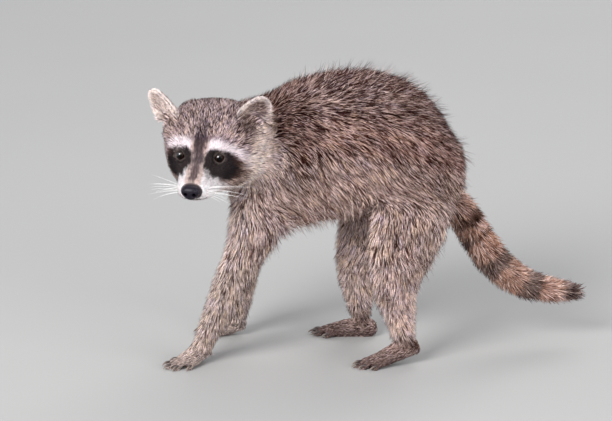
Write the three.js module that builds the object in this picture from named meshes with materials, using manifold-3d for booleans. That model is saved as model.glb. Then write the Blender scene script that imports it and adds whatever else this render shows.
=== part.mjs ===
// A life-size young raccoon, standing in mid-stride with its head turned to its left.
// Every solid is the animal's outline out to the tips of its coat, parted where one would name its parts.
// Millimetres. The body faces -X, its left side is towards -Y, +Z is up and the feet stand on Z = 0.
// The origin is under the middle of the animal's bounding box, which the last lines see to.
import * as THREE from "three";
import { mergeVertices } from "three/addons/utils/BufferGeometryUtils.js";
import Module from "manifold-3d";

const wasm = await Module();
wasm.setup();

// Driving dimensions
const GAP = 0.3; // clearance where two parts meet
const HEAD_PLACE = [-104.7, -85, 245.3]; // midway between the eyes
const HEAD_TURN = 79; // degrees to the animal's left, away from straight ahead
const HEAD_DIP = 9; // degrees that the muzzle points below level
const HEAD_ROLL = 1.2; // degrees that the right ear is the higher
const EYE_RADIUS = 6.4;
const EYE_SPREAD = 20.5; // half the distance between the eyes
const EYE_TURN = THREE.MathUtils.degToRad(22); // how far each eye looks outwards
const NOSE_FORWARD = 50; // from the eyes to the middle of the nose pad
const NOSE_DROP = 18;
const NOSE_SIZE = [7.5, 10.5, 8.8]; // half depth, half width, half height of the pad
const EAR_ROOT = [41, 43, 18]; // behind, beside and above the middle of the eyes
const EAR_LENGTH = 39;
const EAR_WIDTH = 41;
const EAR_LEAN = 25; // degrees that each ear leans outwards
const EAR_TURN = 42; // degrees that its opening is turned outwards
const EAR_CUP = 9; // how deep the ear is hollowed
const EAR_THICKNESS = 5;
const FRONT_PALM = 20; // from the wrist to the roots of the fingers
const HIND_SOLE = 32; // from the ankle to the roots of the toes
const PAD_SINK = 0.8; // how much of each pad is pressed flat on the ground
const DIGITS = 5;
const BELOW_GROUND = new THREE.BoxGeometry(900, 900, 60).translate(0, 0, -30);

const COLOURS = {
  coat: 0x7f675d,
  limbs: 0x9c8681,
  face: 0xa8979a,
  ears: 0xd8cccb,
  tail: 0x86604e,
  paws: 0x6f6260,
  nose: 0x241f26,
  eyes: 0x140e0c,
};

const vector = (x, y, z) => new THREE.Vector3(x, y, z);

const ACROSS = vector(0, 1, 0); // the side of every section points to the animal's right

// ---------------------------------------------------------------- solids

// A closed surface through rings of points, each end closed at a pole.
function closedSkin(startPole, rings, endPole) {
  const around = rings[0].length;
  const points = [startPole, ...rings.flat(), endPole];
  const last = points.length - 1;
  const index = [];
  const at = (ring, j) => 1 + ring * around + (j % around);
  for (let j = 0; j < around; j++) {
    index.push(0, at(0, j + 1), at(0, j));
    index.push(last, at(rings.length - 1, j), at(rings.length - 1, j + 1));
  }
  for (let i = 0; i + 1 < rings.length; i++) {
    for (let j = 0; j < around; j++) {
      index.push(at(i, j), at(i, j + 1), at(i + 1, j + 1));
      index.push(at(i, j), at(i + 1, j + 1), at(i + 1, j));
    }
  }
  const geometry = new THREE.BufferGeometry().setFromPoints(points);
  geometry.setIndex(index);
  return geometry;
}

// One station of a limb, trunk or tail: its middle and its half sizes across and upwards.
// pear is how much narrower the section is above than below.
const station = ([x, y, z], side, up, pear = 0) => ({ middle: vector(x, y, z), side, up, pear });

// Sweeps an oval section through the stations.
//   around     the corners of each section, and steps the sections from one station to the next
//   lean       how much of the path's slope the sections follow, 1 for all of it
//   square     2 for an ellipse, more for fuller corners
//   domes      the lengths of the round ends, each built of domeRings rings
//   grow       a clearance that swells the whole
function sweep(stations, options) {
  const { around, steps = 1, lean = 1, square = 2, domes = [8, 8], domeRings = 2, grow = 0 } = options;
  const path = new THREE.CatmullRomCurve3(stations.map((s) => s.middle));
  const sizes = new THREE.CatmullRomCurve3(stations.map((s) => vector(s.side, s.up, s.pear)));
  const count = (stations.length - 1) * steps;
  const direction = (t) => path.getTangent(t).multiply(vector(1, 1, lean)).normalize();

  const fuller = (value) => Math.sign(value) * Math.abs(value) ** (2 / square);

  function ring(t, slide, scale) {
    const along = direction(t);
    const side = ACROSS.clone().addScaledVector(along, -ACROSS.dot(along)).normalize();
    const up = along.clone().cross(side);
    const { x: sideSize, y: upSize, z: pear } = sizes.getPoint(t);
    const middle = path.getPoint(t).addScaledVector(along, slide);
    return Array.from({ length: around }, (_, j) => {
      const angle = (2 * Math.PI * j) / around;
      const [c, s] = [Math.cos(angle), Math.sin(angle)].map(fuller);
      const across = c * (1 - pear * s) * (sideSize + grow) * scale;
      const upward = s * (upSize + grow) * scale;
      return middle.clone().addScaledVector(side, across).addScaledVector(up, upward);
    });
  }

  const dome = (t, length, step) => {
    const angle = (Math.PI / 2) * (step / domeRings);
    return ring(t, (t ? 1 : -1) * (length + grow) * Math.cos(angle), Math.sin(angle));
  };
  const rings = [];
  for (let k = 1; k < domeRings; k++) rings.push(dome(0, domes[0], k));
  for (let k = 0; k <= count; k++) rings.push(ring(k / count, 0, 1));
  for (let k = domeRings - 1; k > 0; k--) rings.push(dome(1, domes[1], k));
  const startPole = path.getPoint(0).addScaledVector(direction(0), -domes[0] - grow);
  const endPole = path.getPoint(1).addScaledVector(direction(1), domes[1] + grow);
  return toSolid(closedSkin(startPole, rings, endPole));
}

function toSolid(geometry) {
  const bare = geometry.clone();
  bare.deleteAttribute("normal");
  bare.deleteAttribute("uv");
  const merged = mergeVertices(bare, 1e-3);
  const mesh = new wasm.Mesh({
    numProp: 3,
    vertProperties: merged.attributes.position.array,
    triVerts: new Uint32Array(merged.index.array),
  });
  return new wasm.Manifold(mesh);
}

// The biggest body of a solid, without the crumbs that a cut leaves.
function largest(solid) {
  return solid.decompose().reduce((a, b) => (a.volume() > b.volume() ? a : b));
}

const cutBy = (solid, ...others) => largest(others.reduce((left, other) => left.subtract(other), solid));

const joined = (solids) => solids.reduce((a, b) => a.add(b));

function toMesh(name, solid, colour, roughness = 0.9) {
  const { numProp, numVert, vertProperties, triVerts } = solid.getMesh();
  const positions = new Float32Array(numVert * 3);
  for (let i = 0; i < numVert; i++) {
    positions.set(vertProperties.subarray(i * numProp, i * numProp + 3), i * 3);
  }
  const geometry = new THREE.BufferGeometry();
  geometry.setAttribute("position", new THREE.BufferAttribute(positions, 3));
  geometry.setIndex(new THREE.BufferAttribute(triVerts, 1));
  geometry.computeVertexNormals();
  const material = new THREE.MeshStandardMaterial({ color: colour, roughness, metalness: 0 });
  const mesh = new THREE.Mesh(geometry, material);
  mesh.name = name;
  return mesh;
}

// ---------------------------------------------------------------- head, in its own frame
// The head looks along -X of its own frame, its left is -Y, and the origin is midway between the eyes.

const SIDES = { left: -1, right: 1 };

// From the muzzle back to the nape: forward of the eyes, half width, top, bottom, sideways shift and pear.
// The cheeks are shifted to the left behind, where the turned neck pushes the ruff out.
const HEAD_STATIONS = [
  [50, 12, -11, -28, 0, 0.05], // upper lip
  [43, 16, -8, -34, 0, 0.12],
  [34, 19, -5, -38, 0, 0.22], // whisker pads
  [24, 20.5, -1, -41, 0, 0.27],
  [14, 22.5, 4, -44, 0, 0.2], // root of the muzzle
  [7, 27.5, 10, -46, 0, 0.1],
  [0, 34.5, 17, -48, 0.5, 0.05], // brow
  [-9, 42.5, 25, -50, 1, 0.03],
  [-21, 51, 32, -53, 3, 0],
  [-34, 57.5, 37, -55, 5, 0],
  [-47, 60.5, 40, -56, 7, 0], // widest at the ruff
  [-60, 58.5, 40.5, -53, 9, 0],
  [-72, 50, 37, -46, 11, 0],
  [-83, 38, 31, -36, 13, 0], // nape
];

function headSolid(grow) {
  const stations = HEAD_STATIONS.map(([forward, half, top, bottom, shift, pear]) =>
    station([-forward, -shift, (top + bottom) / 2], half, (top - bottom) / 2, pear),
  );
  return sweep(stations, { around: 22, lean: 0.4, square: 2.3, domes: [3.5, 10], grow });
}

function nose(grow) {
  const [depth, width, height] = NOSE_SIZE.map((half) => half + grow);
  const ball = new THREE.SphereGeometry(1, 12, 9).scale(depth, width, height);
  return toSolid(ball.translate(-NOSE_FORWARD, 0, -NOSE_DROP));
}

const eyeMiddle = (side) => vector(-2.5, side * EYE_SPREAD, 0);

function eye(side, grow) {
  const { x, y, z } = eyeMiddle(side);
  return toSolid(new THREE.SphereGeometry(EYE_RADIUS + grow, 12, 8).translate(x, y, z));
}

// The hollow of the lids in front of an eye.
function lidHollow(side) {
  const HOLLOW_RADIUS = 9.4;
  const HOLLOW_FORWARD = 8.8;
  const look = vector(-Math.cos(EYE_TURN), side * Math.sin(EYE_TURN), 0.15).normalize();
  const { x, y, z } = eyeMiddle(side).addScaledVector(look, HOLLOW_FORWARD);
  return toSolid(new THREE.SphereGeometry(HOLLOW_RADIUS, 10, 8).translate(x, y, z));
}

// A cupped ear, open to the front and outwards, as crescents from its root to its round tip.
function ear(side) {
  const AROUND = 14;
  const RINGS = 7;
  const lean = THREE.MathUtils.degToRad(EAR_LEAN);
  const turn = THREE.MathUtils.degToRad(EAR_TURN);
  const [x, y, z] = EAR_ROOT;
  const root = vector(x, side * y, z);
  const axis = vector(-0.06, side * Math.sin(lean), Math.cos(lean)).normalize();
  const facing = vector(-Math.cos(turn), side * Math.sin(turn), 0);
  facing.addScaledVector(axis, -facing.dot(axis)).normalize();
  const across = facing.clone().cross(axis);

  function crescent(s) {
    const belly = 0.88 + 0.12 * Math.sin(Math.PI * s);
    const half = (EAR_WIDTH / 2) * belly * (1 - s ** 3.2) ** 0.48;
    const hollow = EAR_CUP * (1 - 0.5 * s) * Math.sqrt(1 - s ** 4);
    const thick = (EAR_THICKNESS / 2) * (1 - 0.4 * s);
    return Array.from({ length: AROUND }, (_, j) => {
      const angle = (2 * Math.PI * j) / AROUND;
      const share = Math.cos(angle);
      const depth = hollow * (share * share - 1) + thick * Math.sin(angle);
      const spot = root.clone().addScaledVector(axis, s * EAR_LENGTH);
      return spot.addScaledVector(across, share * half).addScaledVector(facing, depth);
    });
  }

  const heights = Array.from({ length: RINGS }, (_, k) => Math.sin((0.485 * Math.PI * k) / (RINGS - 1)));
  const startPole = root.clone().addScaledVector(facing, -EAR_CUP / 2);
  const endPole = root.clone().addScaledVector(axis, EAR_LENGTH).addScaledVector(facing, -1);
  return toSolid(closedSkin(startPole, heights.map(crescent), endPole));
}

// ---------------------------------------------------------------- neck, trunk and tail

const NECK_STATIONS = [
  station([20, 0, 222], 54, 66),
  station([-18, -2, 230], 53, 62),
  station([-48, -6, 236], 50, 54),
  station([-76, -16, 241], 45, 45),
  station([-94, -34, 246], 37, 39),
];

function neck(grow) {
  return sweep(NECK_STATIONS, { around: 16, domes: [10, 8], grow });
}

const TRUNK_STATIONS = [
  station([-70, 0, 186], 30, 36), // breast
  station([-56, 0, 196], 46, 57),
  station([-34, 0, 209], 55, 70), // shoulders
  station([-4, 0, 224], 61, 78),
  station([30, 0, 233], 65, 80), // ribs
  station([66, 0, 236], 68, 80),
  station([100, 0, 231], 68, 75), // loin
  station([122, 0, 222], 65, 64.5),
  station([140, 0, 210], 59, 52), // hips
  station([154, 0, 199], 49, 42),
  station([165, 0, 185], 34, 28), // rump
];

function trunk(grow) {
  return sweep(TRUNK_STATIONS, { around: 22, steps: 2, lean: 0.45, domes: [10, 9], grow });
}

const TAIL_STATIONS = [
  station([140, 0, 190], 17, 18),
  station([163, 0, 171], 19, 20),
  station([180, 0, 150], 19.5, 20),
  station([193, 3, 127], 20, 20),
  station([207, 7, 104], 20, 20),
  station([225, 11, 84], 19.5, 19.5),
  station([248, 15, 69], 18, 18),
  station([274, 20, 60.5], 15.5, 15.5),
  station([300, 24, 57.5], 12, 12),
  station([318, 26, 55.5], 8, 8),
];

function tail() {
  return sweep(TAIL_STATIONS, { around: 12, domes: [8, 9] });
}

// ---------------------------------------------------------------- legs

// Half sizes across and fore and aft, from the body down.
const FRONT_LEG_SIZES = [
  [26, 40], // shoulder
  [25, 34],
  [22, 25.5], // elbow
  [19, 21],
  [17.5, 19.5], // forearm
  [15.5, 17],
  [13, 13.5], // wrist
  [11.5, 11.5],
];
const HIND_LEG_SIZES = [
  [30, 48], // hip
  [29.5, 45],
  [25.5, 36], // knee
  [21.5, 27],
  [17.5, 21.5], // shank
  [13.5, 15],
  [11.5, 12], // hock
];

// Where each leg's sections stand in the stride, the way its paw points and how far its heel is raised.
const LEGS = {
  front_left: {
    path: [
      [-34, -22, 205],
      [-43, -36, 168],
      [-55, -44, 138],
      [-66, -48, 112],
      [-76, -49, 87],
      [-86, -49, 62],
      [-98, -48, 37],
      [-106, -48, 20],
    ],
    turn: 32,
    heelLift: 0,
  },
  front_right: {
    path: [
      [-34, 22, 205],
      [-44, 36, 165],
      [-53, 42, 133],
      [-60, 44, 106],
      [-64, 45, 80],
      [-67, 45, 56],
      [-68, 45, 35],
      [-70, 45, 20],
    ],
    turn: -6,
    heelLift: 0,
  },
  hind_left: {
    path: [
      [122, -26, 196],
      [117, -40, 158],
      [106, -48, 122],
      [102, -51, 96],
      [104, -52, 72],
      [109, -52, 49],
      [112, -52, 29],
    ],
    turn: 16,
    heelLift: 9,
  },
  hind_right: {
    path: [
      [112, 26, 196],
      [93, 39, 156],
      [74, 44, 116],
      [66, 44, 88],
      [64, 43, 66],
      [65, 42, 44],
      [67, 42, 25],
    ],
    turn: -6,
    heelLift: 0,
  },
};

const isFront = (name) => name.startsWith("front");

function leg(name) {
  const sizes = isFront(name) ? FRONT_LEG_SIZES : HIND_LEG_SIZES;
  const stations = LEGS[name].path.map((middle, i) => station(middle, ...sizes[i]));
  return sweep(stations, { around: 12, domes: [12, 6] });
}

// ---------------------------------------------------------------- paws, each in its own frame
// A paw points along -X of its own frame, with its wrist or ankle over the origin and its pads on Z = 0.

const PAW_SHAPES = {
  front: {
    // middle height, half width and half height of the palm, from the wrist forward
    palm: [
      [4, 17, 10.5, 11],
      [-6, 12.5, 12, 11.5],
      [-15, 8.6, 13.5, 9.2],
      [-23, 6.2, 13, 6.8],
    ],
    rootForward: FRONT_PALM,
    rootSpread: 10.2,
    digitLengths: [14, 20, 22.5, 20.5, 14.5],
    digitRadius: 4.1,
    fan: 44,
    clawLength: 6.5,
  },
  hind: {
    palm: [
      [15, 10, 9.5, 9.5],
      [2, 12, 12.5, 12.5],
      [-12, 10, 13, 10.6],
      [-25, 7.6, 14, 8.3],
      [-35, 6, 13.4, 6.6],
    ],
    rootForward: HIND_SOLE,
    rootSpread: 10.6,
    digitLengths: [12, 17, 19, 17.5, 13],
    digitRadius: 4.3,
    fan: 30,
    clawLength: 7.5,
  },
};

// How high a point of the sole is lifted when the heel comes off the ground.
const lifted = (x, lift, rootForward) => lift * THREE.MathUtils.smoothstep(x, -rootForward, 20);

// One finger or toe with its claw, which curves down and stops just clear of the ground.
function digit(shape, k, grow) {
  const CLAW_SIZES = [
    [1.3, 1.8],
    [1.1, 1.5],
    [0.5, 0.5],
  ];
  const across = (2 * k) / (DIGITS - 1) - 1; // from -1 on one side of the paw to 1 on the other
  const angle = THREE.MathUtils.degToRad((across * shape.fan) / 2);
  const ahead = vector(-Math.cos(angle), Math.sin(angle), 0);
  const root = vector(-shape.rootForward + 8 * across * across, across * shape.rootSpread, 0);
  const reach = shape.digitLengths[k];
  const point = (distance, height) => root.clone().addScaledVector(ahead, distance).setZ(height).toArray();

  const r = shape.digitRadius;
  const flesh = [
    station(point(-0.1 * reach, 6.4), r, r),
    station(point(0.5 * reach, 6.8), r, r),
    station(point(reach, 3.2), r * 0.8, r * 0.8),
  ];
  const clawLine = [
    [-1, 5],
    [0.6 * shape.clawLength, 4],
    [shape.clawLength, 1.9],
  ];
  const claw = clawLine.map(([beyond, height], i) => station(point(reach + beyond, height), ...CLAW_SIZES[i]));
  return [
    sweep(flesh, { around: 6, domes: [2, 2.6], domeRings: 1, grow }),
    sweep(claw, { around: 4, domes: [0.6, 0.5], domeRings: 1, grow }),
  ];
}

function paw(name, grow) {
  const shape = isFront(name) ? PAW_SHAPES.front : PAW_SHAPES.hind;
  const stations = shape.palm.map(([x, z, side, up]) =>
    station([x, 0, z + lifted(x, LEGS[name].heelLift, shape.rootForward)], side, up),
  );
  const palm = sweep(stations, { around: 10, domes: [5, 4], grow });
  const digits = Array.from({ length: DIGITS }, (_, k) => digit(shape, k, grow)).flat();
  return joined([palm, ...digits])
    .translate([0, 0, -PAD_SINK])
    .subtract(toSolid(BELOW_GROUND));
}

// ---------------------------------------------------------------- assembly

const raccoon = new THREE.Group();

// The head, tilted down a little and turned to the animal's left, is a group of its own.
const headGroup = new THREE.Group();
headGroup.position.set(...HEAD_PLACE);
headGroup.rotation.order = "ZYX";
headGroup.rotation.set(...[HEAD_ROLL, -HEAD_DIP, HEAD_TURN].map((angle) => THREE.MathUtils.degToRad(angle)));
headGroup.updateMatrix();
raccoon.add(headGroup);

const lidHollows = Object.values(SIDES).map(lidHollow);
const eyesGrown = Object.values(SIDES).map((side) => eye(side, GAP));
const head = cutBy(headSolid(0), nose(GAP), ...lidHollows, ...eyesGrown);
headGroup.add(toMesh("head", head, COLOURS.face));
headGroup.add(toMesh("nose", nose(0), COLOURS.nose, 0.4));
for (const [sideName, side] of Object.entries(SIDES)) {
  headGroup.add(toMesh(`eye_${sideName}`, eye(side, 0), COLOURS.eyes, 0.08));
  headGroup.add(toMesh(`ear_${sideName}`, cutBy(ear(side), headSolid(GAP)), COLOURS.ears));
}

const headGrown = headSolid(GAP).transform(headGroup.matrix.elements);
raccoon.add(toMesh("trunk", cutBy(trunk(0), headGrown), COLOURS.coat));
raccoon.add(toMesh("neck", cutBy(neck(0), headGrown, trunk(GAP)), COLOURS.coat));
raccoon.add(toMesh("tail", cutBy(tail(), trunk(GAP)), COLOURS.tail));

for (const [name, { path, turn }] of Object.entries(LEGS)) {
  const [x, y] = path[path.length - 1];
  const pawGroup = new THREE.Group();
  pawGroup.position.set(x, y, 0);
  pawGroup.rotation.z = THREE.MathUtils.degToRad(turn);
  pawGroup.updateMatrix();
  pawGroup.add(toMesh(`paw_${name}`, paw(name, 0), COLOURS.paws, 0.75));
  raccoon.add(pawGroup);

  const pawGrown = paw(name, GAP).transform(pawGroup.matrix.elements);
  const legSolid = cutBy(leg(name), trunk(GAP), neck(GAP), headGrown, pawGrown);
  raccoon.add(toMesh(`leg_${name}`, legSolid, COLOURS.limbs));
}

// The origin goes under the middle of the bounding box.
const bounds = new THREE.Box3().setFromObject(raccoon, true);
const middle = bounds.getCenter(vector(0, 0, 0));
for (const child of raccoon.children) child.position.sub(vector(middle.x, middle.y, 0));

export default raccoon;
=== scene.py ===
"""A life-size still model of a young raccoon, finished with skin, coat, eyes, nose, claws and whiskers.

Lengths inside the classes are in millimetres in the frame of the part, and become metres only when a
mesh is made. The animal faces -X, its left side is towards -Y and it stands on Z = 0.
"""

import logging
import math
from collections.abc import Sequence
from dataclasses import dataclass, field
from enum import Enum

import bmesh
import bpy
import numpy as np
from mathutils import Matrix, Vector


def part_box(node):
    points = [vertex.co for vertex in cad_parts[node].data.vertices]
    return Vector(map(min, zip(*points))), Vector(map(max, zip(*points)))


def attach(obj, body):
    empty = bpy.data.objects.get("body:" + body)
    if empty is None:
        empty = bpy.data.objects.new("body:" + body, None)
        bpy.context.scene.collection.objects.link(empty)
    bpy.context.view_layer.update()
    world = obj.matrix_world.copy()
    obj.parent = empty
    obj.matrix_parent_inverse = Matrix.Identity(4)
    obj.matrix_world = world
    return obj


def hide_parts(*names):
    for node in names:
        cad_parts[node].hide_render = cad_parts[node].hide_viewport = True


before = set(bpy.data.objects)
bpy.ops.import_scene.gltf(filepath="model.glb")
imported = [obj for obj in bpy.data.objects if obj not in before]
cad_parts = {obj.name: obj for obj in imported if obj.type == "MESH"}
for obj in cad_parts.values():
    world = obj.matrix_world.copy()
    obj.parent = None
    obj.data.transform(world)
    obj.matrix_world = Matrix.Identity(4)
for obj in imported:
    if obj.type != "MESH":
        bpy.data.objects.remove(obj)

import openvdb

LOG = logging.getLogger("raccoon")
MM = 0.001
BODY = "root"
SIDES = {"left": 1, "right": -1}

Array = np.ndarray
Colour = tuple[float, float, float]
Piece = bpy.types.Object
Sockets = dict[str | int, object]


# ---- numbers


def smooth(low: float, high: float, value: Array) -> Array:
    """Returns 0 below low, 1 above high and a smooth rise between them, or a fall if low is the larger."""
    t = np.clip((value - low) / (high - low), 0, 1)
    return t * t * (3 - 2 * t)


def unit(vectors: Array) -> Array:
    """Returns the vectors at length 1."""
    return vectors / np.maximum(np.linalg.norm(vectors, axis=-1, keepdims=True), 1e-9)


def dot(a: Array, b: Array) -> Array:
    """Returns the dot products of rows."""
    return (a * b).sum(axis=-1)


def tangent(vectors: Array, normals: Array) -> Array:
    """Returns the vectors laid flat on the surface with those normals, at length 1."""
    return unit(vectors - dot(vectors, normals)[:, None] * normals)


def tone(red: int, green: int, blue: int) -> Array:
    """Returns the linear colour of three display values from 0 to 255."""
    value = np.array([red, green, blue]) / 255
    return np.where(value <= 0.04045, value / 12.92, ((value + 0.055) / 1.055) ** 2.4)


class Dye(Enum):
    """The colours of the coat and of the bare skin, as display values from 0 to 255; some of them are
    painted shade.
    """

    CROWN = (131, 106, 121)
    # the nape's darker fur, deepened by painted shadow where the head meets the neck
    NAPE = (92, 68, 66)
    RUFF = (255, 240, 233)
    # painted shade on the side of the crown between the eye and the ear
    TEMPLE = (92, 66, 60)
    EAR_FOOT = (66, 42, 32)
    CHEEK = (108, 76, 62)
    MUZZLE = (255, 249, 251)
    BRIDGE = (196, 158, 138)
    BROW = (252, 240, 244)
    MASK = (24, 18, 24)
    MASK_EDGE = (80, 56, 46)
    MASK_FRINGE = (100, 70, 60)
    STRIPE = (62, 48, 59)
    STRIPE_END = (96, 75, 80)
    LID = (11, 8, 10)
    LID_RIM = (84, 74, 80)
    LIPS = (40, 28, 30)
    NOSTRIL = (52, 42, 50)
    EAR = (124, 104, 102)
    EAR_BACK = (80, 58, 56)
    EAR_HOLLOW = (222, 210, 206)
    EAR_DUSK = (50, 34, 31)
    # dark grizzled hair in the ear's hollow, partly painted shade
    EAR_SPECK = (118, 95, 90)
    EAR_ROOT = (88, 56, 40)
    EAR_RIM = (246, 238, 236)
    FLANK = (128, 76, 58)
    BACK = (98, 67, 64)
    BELLY = (222, 190, 178)
    RUMP = (106, 62, 49)
    RIDGE = (70, 50, 48)
    # darker neck and shoulders: partly the fur's own brown, partly painted shadow behind the head
    SHOULDER = (78, 41, 29)
    CHEST = (250, 228, 222)
    TAIL = (168, 119, 92)
    TAIL_RING = (46, 25, 18)
    TAIL_TIP = (66, 44, 40)
    TAIL_ROOT = (146, 102, 82)
    FORELEG = (200, 184, 174)
    FORELEG_TOP = (172, 142, 138)
    HIND_LEG = (234, 206, 198)
    HIND_LEG_TOP = (152, 113, 100)
    LEG_EDGE = (246, 226, 218)
    HOCK = (104, 76, 68)
    TOES = (84, 66, 65)
    PALE_TIP = (236, 213, 205)

    @property
    def linear(self) -> Array:
        """Returns the linear colour."""
        return tone(*self.value)


def over(base: Array, layer: Array, share: Array) -> Array:
    """Returns colours or numbers with a layer laid over them.

    Args:
        base: one row or number for each point.
        layer: what goes over it.
        share: how much of the layer shows at each point.

    Returns:
        The mixed rows or numbers.
    """
    share = share[:, None] if base.ndim == 2 else share
    return base + (layer - base) * share


@dataclass
class Layers:
    """The colours of some places, painted over one another."""

    rows: Array

    @classmethod
    def plain(cls, places: Array, dye: Dye) -> "Layers":
        """Starts with one colour at all the places."""
        return cls(np.tile(dye.linear, (len(places), 1)))

    def lay(self, top: "Dye | Layers", share: Array) -> "Layers":
        """Lays a colour, or other layers, over a share of each place and returns the whole."""
        self.rows = over(self.rows, top.rows if isinstance(top, Layers) else top.linear, share)
        return self


def within(outline: Sequence[tuple[float, float]], across: Array, up: Array) -> Array:
    """Returns how far each point is inside a closed outline, negative outside it.

    Args:
        outline: the corners in order.
        across: first coordinates of the points.
        up: second coordinates of the points.

    Returns:
        The distance to the outline's edge with its sign.
    """
    nearest = np.full(len(across), 1e9)
    inside = np.zeros(len(across), bool)
    for (ax, ay), (bx, by) in zip(outline, list(outline[1:]) + [outline[0]]):
        ex, ey = bx - ax, by - ay
        px, py = across - ax, up - ay
        t = np.clip((px * ex + py * ey) / (ex * ex + ey * ey), 0, 1)
        nearest = np.minimum(nearest, np.hypot(px - t * ex, py - t * ey))
        crosses = (ay > up) != (by > up)
        inside ^= crosses & (px < ex * py / (ey if ey else 1e-9))
    return np.where(inside, nearest, -nearest)


def capsule(points: Array, start: Array, end: Array, radius: float) -> Array:
    """Measures how far places are from a round-ended rod.

    Args:
        points: the places.
        start: one end of the rod's axis.
        end: the other end.
        radius: its radius.

    Returns:
        The distances, negative inside.
    """
    axis = end - start
    t = np.clip((points - start) @ axis / (axis @ axis), 0, 1)
    return np.linalg.norm(points - start - t[:, None] * axis, axis=1) - radius


def grooved(values: Array, places: Array, line: Sequence[Array], radius: float) -> Array:
    """Presses a round groove into a distance field.

    Args:
        values: the distances.
        places: where they are.
        line: the points that the groove's middle runs through.
        radius: the groove's radius.

    Returns:
        The new distances.
    """
    for start, end in zip(line, line[1:]):
        values = np.maximum(values, -capsule(places, start, end, radius))
    return values


def softly(a: Array, b: Array, blend: float) -> Array:
    """Returns the union of two distance fields with a fillet of about that size."""
    h = np.clip(0.5 + 0.5 * (b - a) / blend, 0, 1)
    return b + (a - b) * h - blend * h * (1 - h)


@dataclass(frozen=True)
class Lattice:
    """Smooth noise between -1 and 1, from random numbers on a cubic lattice."""

    size: float
    seed: int
    knots: int = 32

    def at(self, points: Array) -> Array:
        """Reads the noise.

        Args:
            points: the places.

        Returns:
            A number between -1 and 1 for each.
        """
        table = np.random.default_rng(self.seed).uniform(-1, 1, (self.knots,) * 3)
        scaled = points / self.size
        cell = np.floor(scaled).astype(int)
        part = scaled - cell
        part = part * part * (3 - 2 * part)
        total = np.zeros(len(points))
        for corner in np.ndindex(2, 2, 2):
            share = np.prod(np.where(corner, part, 1 - part), axis=1)
            i = (cell + corner) % self.knots
            total += share * table[i[:, 0], i[:, 1], i[:, 2]]
        return total


@dataclass
class Volume:
    """Numbers on a cubic grid, read between its points by straight-line mixing."""

    low: Array
    pitch: float
    values: Array

    def at(self, points: Array) -> Array:
        """Reads the grid.

        Args:
            points: the places.

        Returns:
            The value, or the row of values, at each.
        """
        size = self.values.shape
        scaled = np.clip((points - self.low) / self.pitch, 0, np.array(size[:3]) - 1.001)
        cell = scaled.astype(np.int64)
        (x, y, z) = (scaled - cell).T.astype(np.float32)
        first = (cell[:, 0] * size[1] + cell[:, 1]) * size[2] + cell[:, 2]
        table = self.values.reshape(size[0] * size[1] * size[2], *size[3:])
        total = np.zeros((len(points), *size[3:]), np.float32)
        for i, j, k in np.ndindex(2, 2, 2):
            share = (x if i else 1 - x) * (y if j else 1 - y) * (z if k else 1 - z)
            found = table[first + ((i * size[1] + j) * size[2] + k)]
            total += found * (share if found.ndim == 1 else share[:, None])
        return total.astype(float)

    def slope(self, points: Array) -> Array:
        """Returns the direction in which the value rises fastest."""
        steps = np.eye(3) * self.pitch * 1.2
        rises = [self.at(points + step) - self.at(points - step) for step in steps]
        return unit(np.stack(rises, axis=1))

    def block(self, middle: Array, reach: float) -> tuple[tuple[slice, ...], Array]:
        """Finds the part of the grid around a point.

        Args:
            middle: the point.
            reach: half the block's side.

        Returns:
            The slices of the block, and the places of its points.
        """
        first = np.clip(((middle - reach - self.low) / self.pitch).astype(int), 0, None)
        last = np.clip(((middle + reach - self.low) / self.pitch).astype(int), None, self.values.shape)
        slices = tuple(slice(int(a), int(b)) for a, b in zip(first, last))
        index = np.stack(np.meshgrid(*[np.arange(s.start, s.stop) for s in slices], indexing="ij"), axis=-1)
        return slices, self.low + index.reshape(-1, 3) * self.pitch

    def blurred(self, reach: int) -> Array:
        """Averages each value with its neighbours.

        Args:
            reach: how many neighbours each way.

        Returns:
            The new values.
        """
        values = self.values
        for axis in range(3):
            total = values.copy()
            for step in range(1, reach + 1):
                total += np.roll(values, step, axis) + np.roll(values, -step, axis)
            values = total / (2 * reach + 1)
        return values

    def surface(self) -> tuple[Array, Array]:
        """Finds the surface where the value is zero.

        Returns:
            Its points and four-sided faces, facing outwards.
        """
        edge = 3.0 * self.pitch
        grid = openvdb.FloatGrid(edge)
        grid.copyFromArray(np.clip(self.values, -edge, edge))
        grid.transform = openvdb.createLinearTransform(self.pitch)
        points, _, quads = grid.convertToPolygons(0.0, 0.0)
        points = points.astype(float) + self.low
        quads = quads.astype(np.int64)
        a, b, c = (points[quads[:, k]] - points.mean(axis=0) for k in (0, 1, 2))
        if dot(a, np.cross(b, c)).sum() < 0:
            quads = quads[:, ::-1]
        return points, quads

    @classmethod
    def around(cls, low: Array, high: Array, pitch: float) -> "Volume":
        """Returns an empty volume over a box."""
        size = np.ceil((high - low) / pitch).astype(int)
        return cls(low, pitch, np.zeros(size, np.float32))

    def fill_distance(self, points: Array, faces: Array, outside: float, inside: float) -> "Volume":
        """Sets the values to the distance from a closed surface.

        Args:
            points: the surface's points.
            faces: its three- or four-sided faces.
            outside: the largest distance kept outside it.
            inside: the largest distance kept inside it.

        Returns:
            The volume itself.
        """
        sides = {3: "triangles", 4: "quads"}[faces.shape[1]]
        grid = openvdb.FloatGrid.createLevelSetFromPolygons(
            (points - self.low).astype(np.float32),
            transform=openvdb.createLinearTransform(self.pitch),
            exBandWidth=outside / self.pitch,
            inBandWidth=inside / self.pitch,
            **{sides: faces.astype(np.uint32)},
        )
        grid.copyToArray(self.values)
        return self


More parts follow.
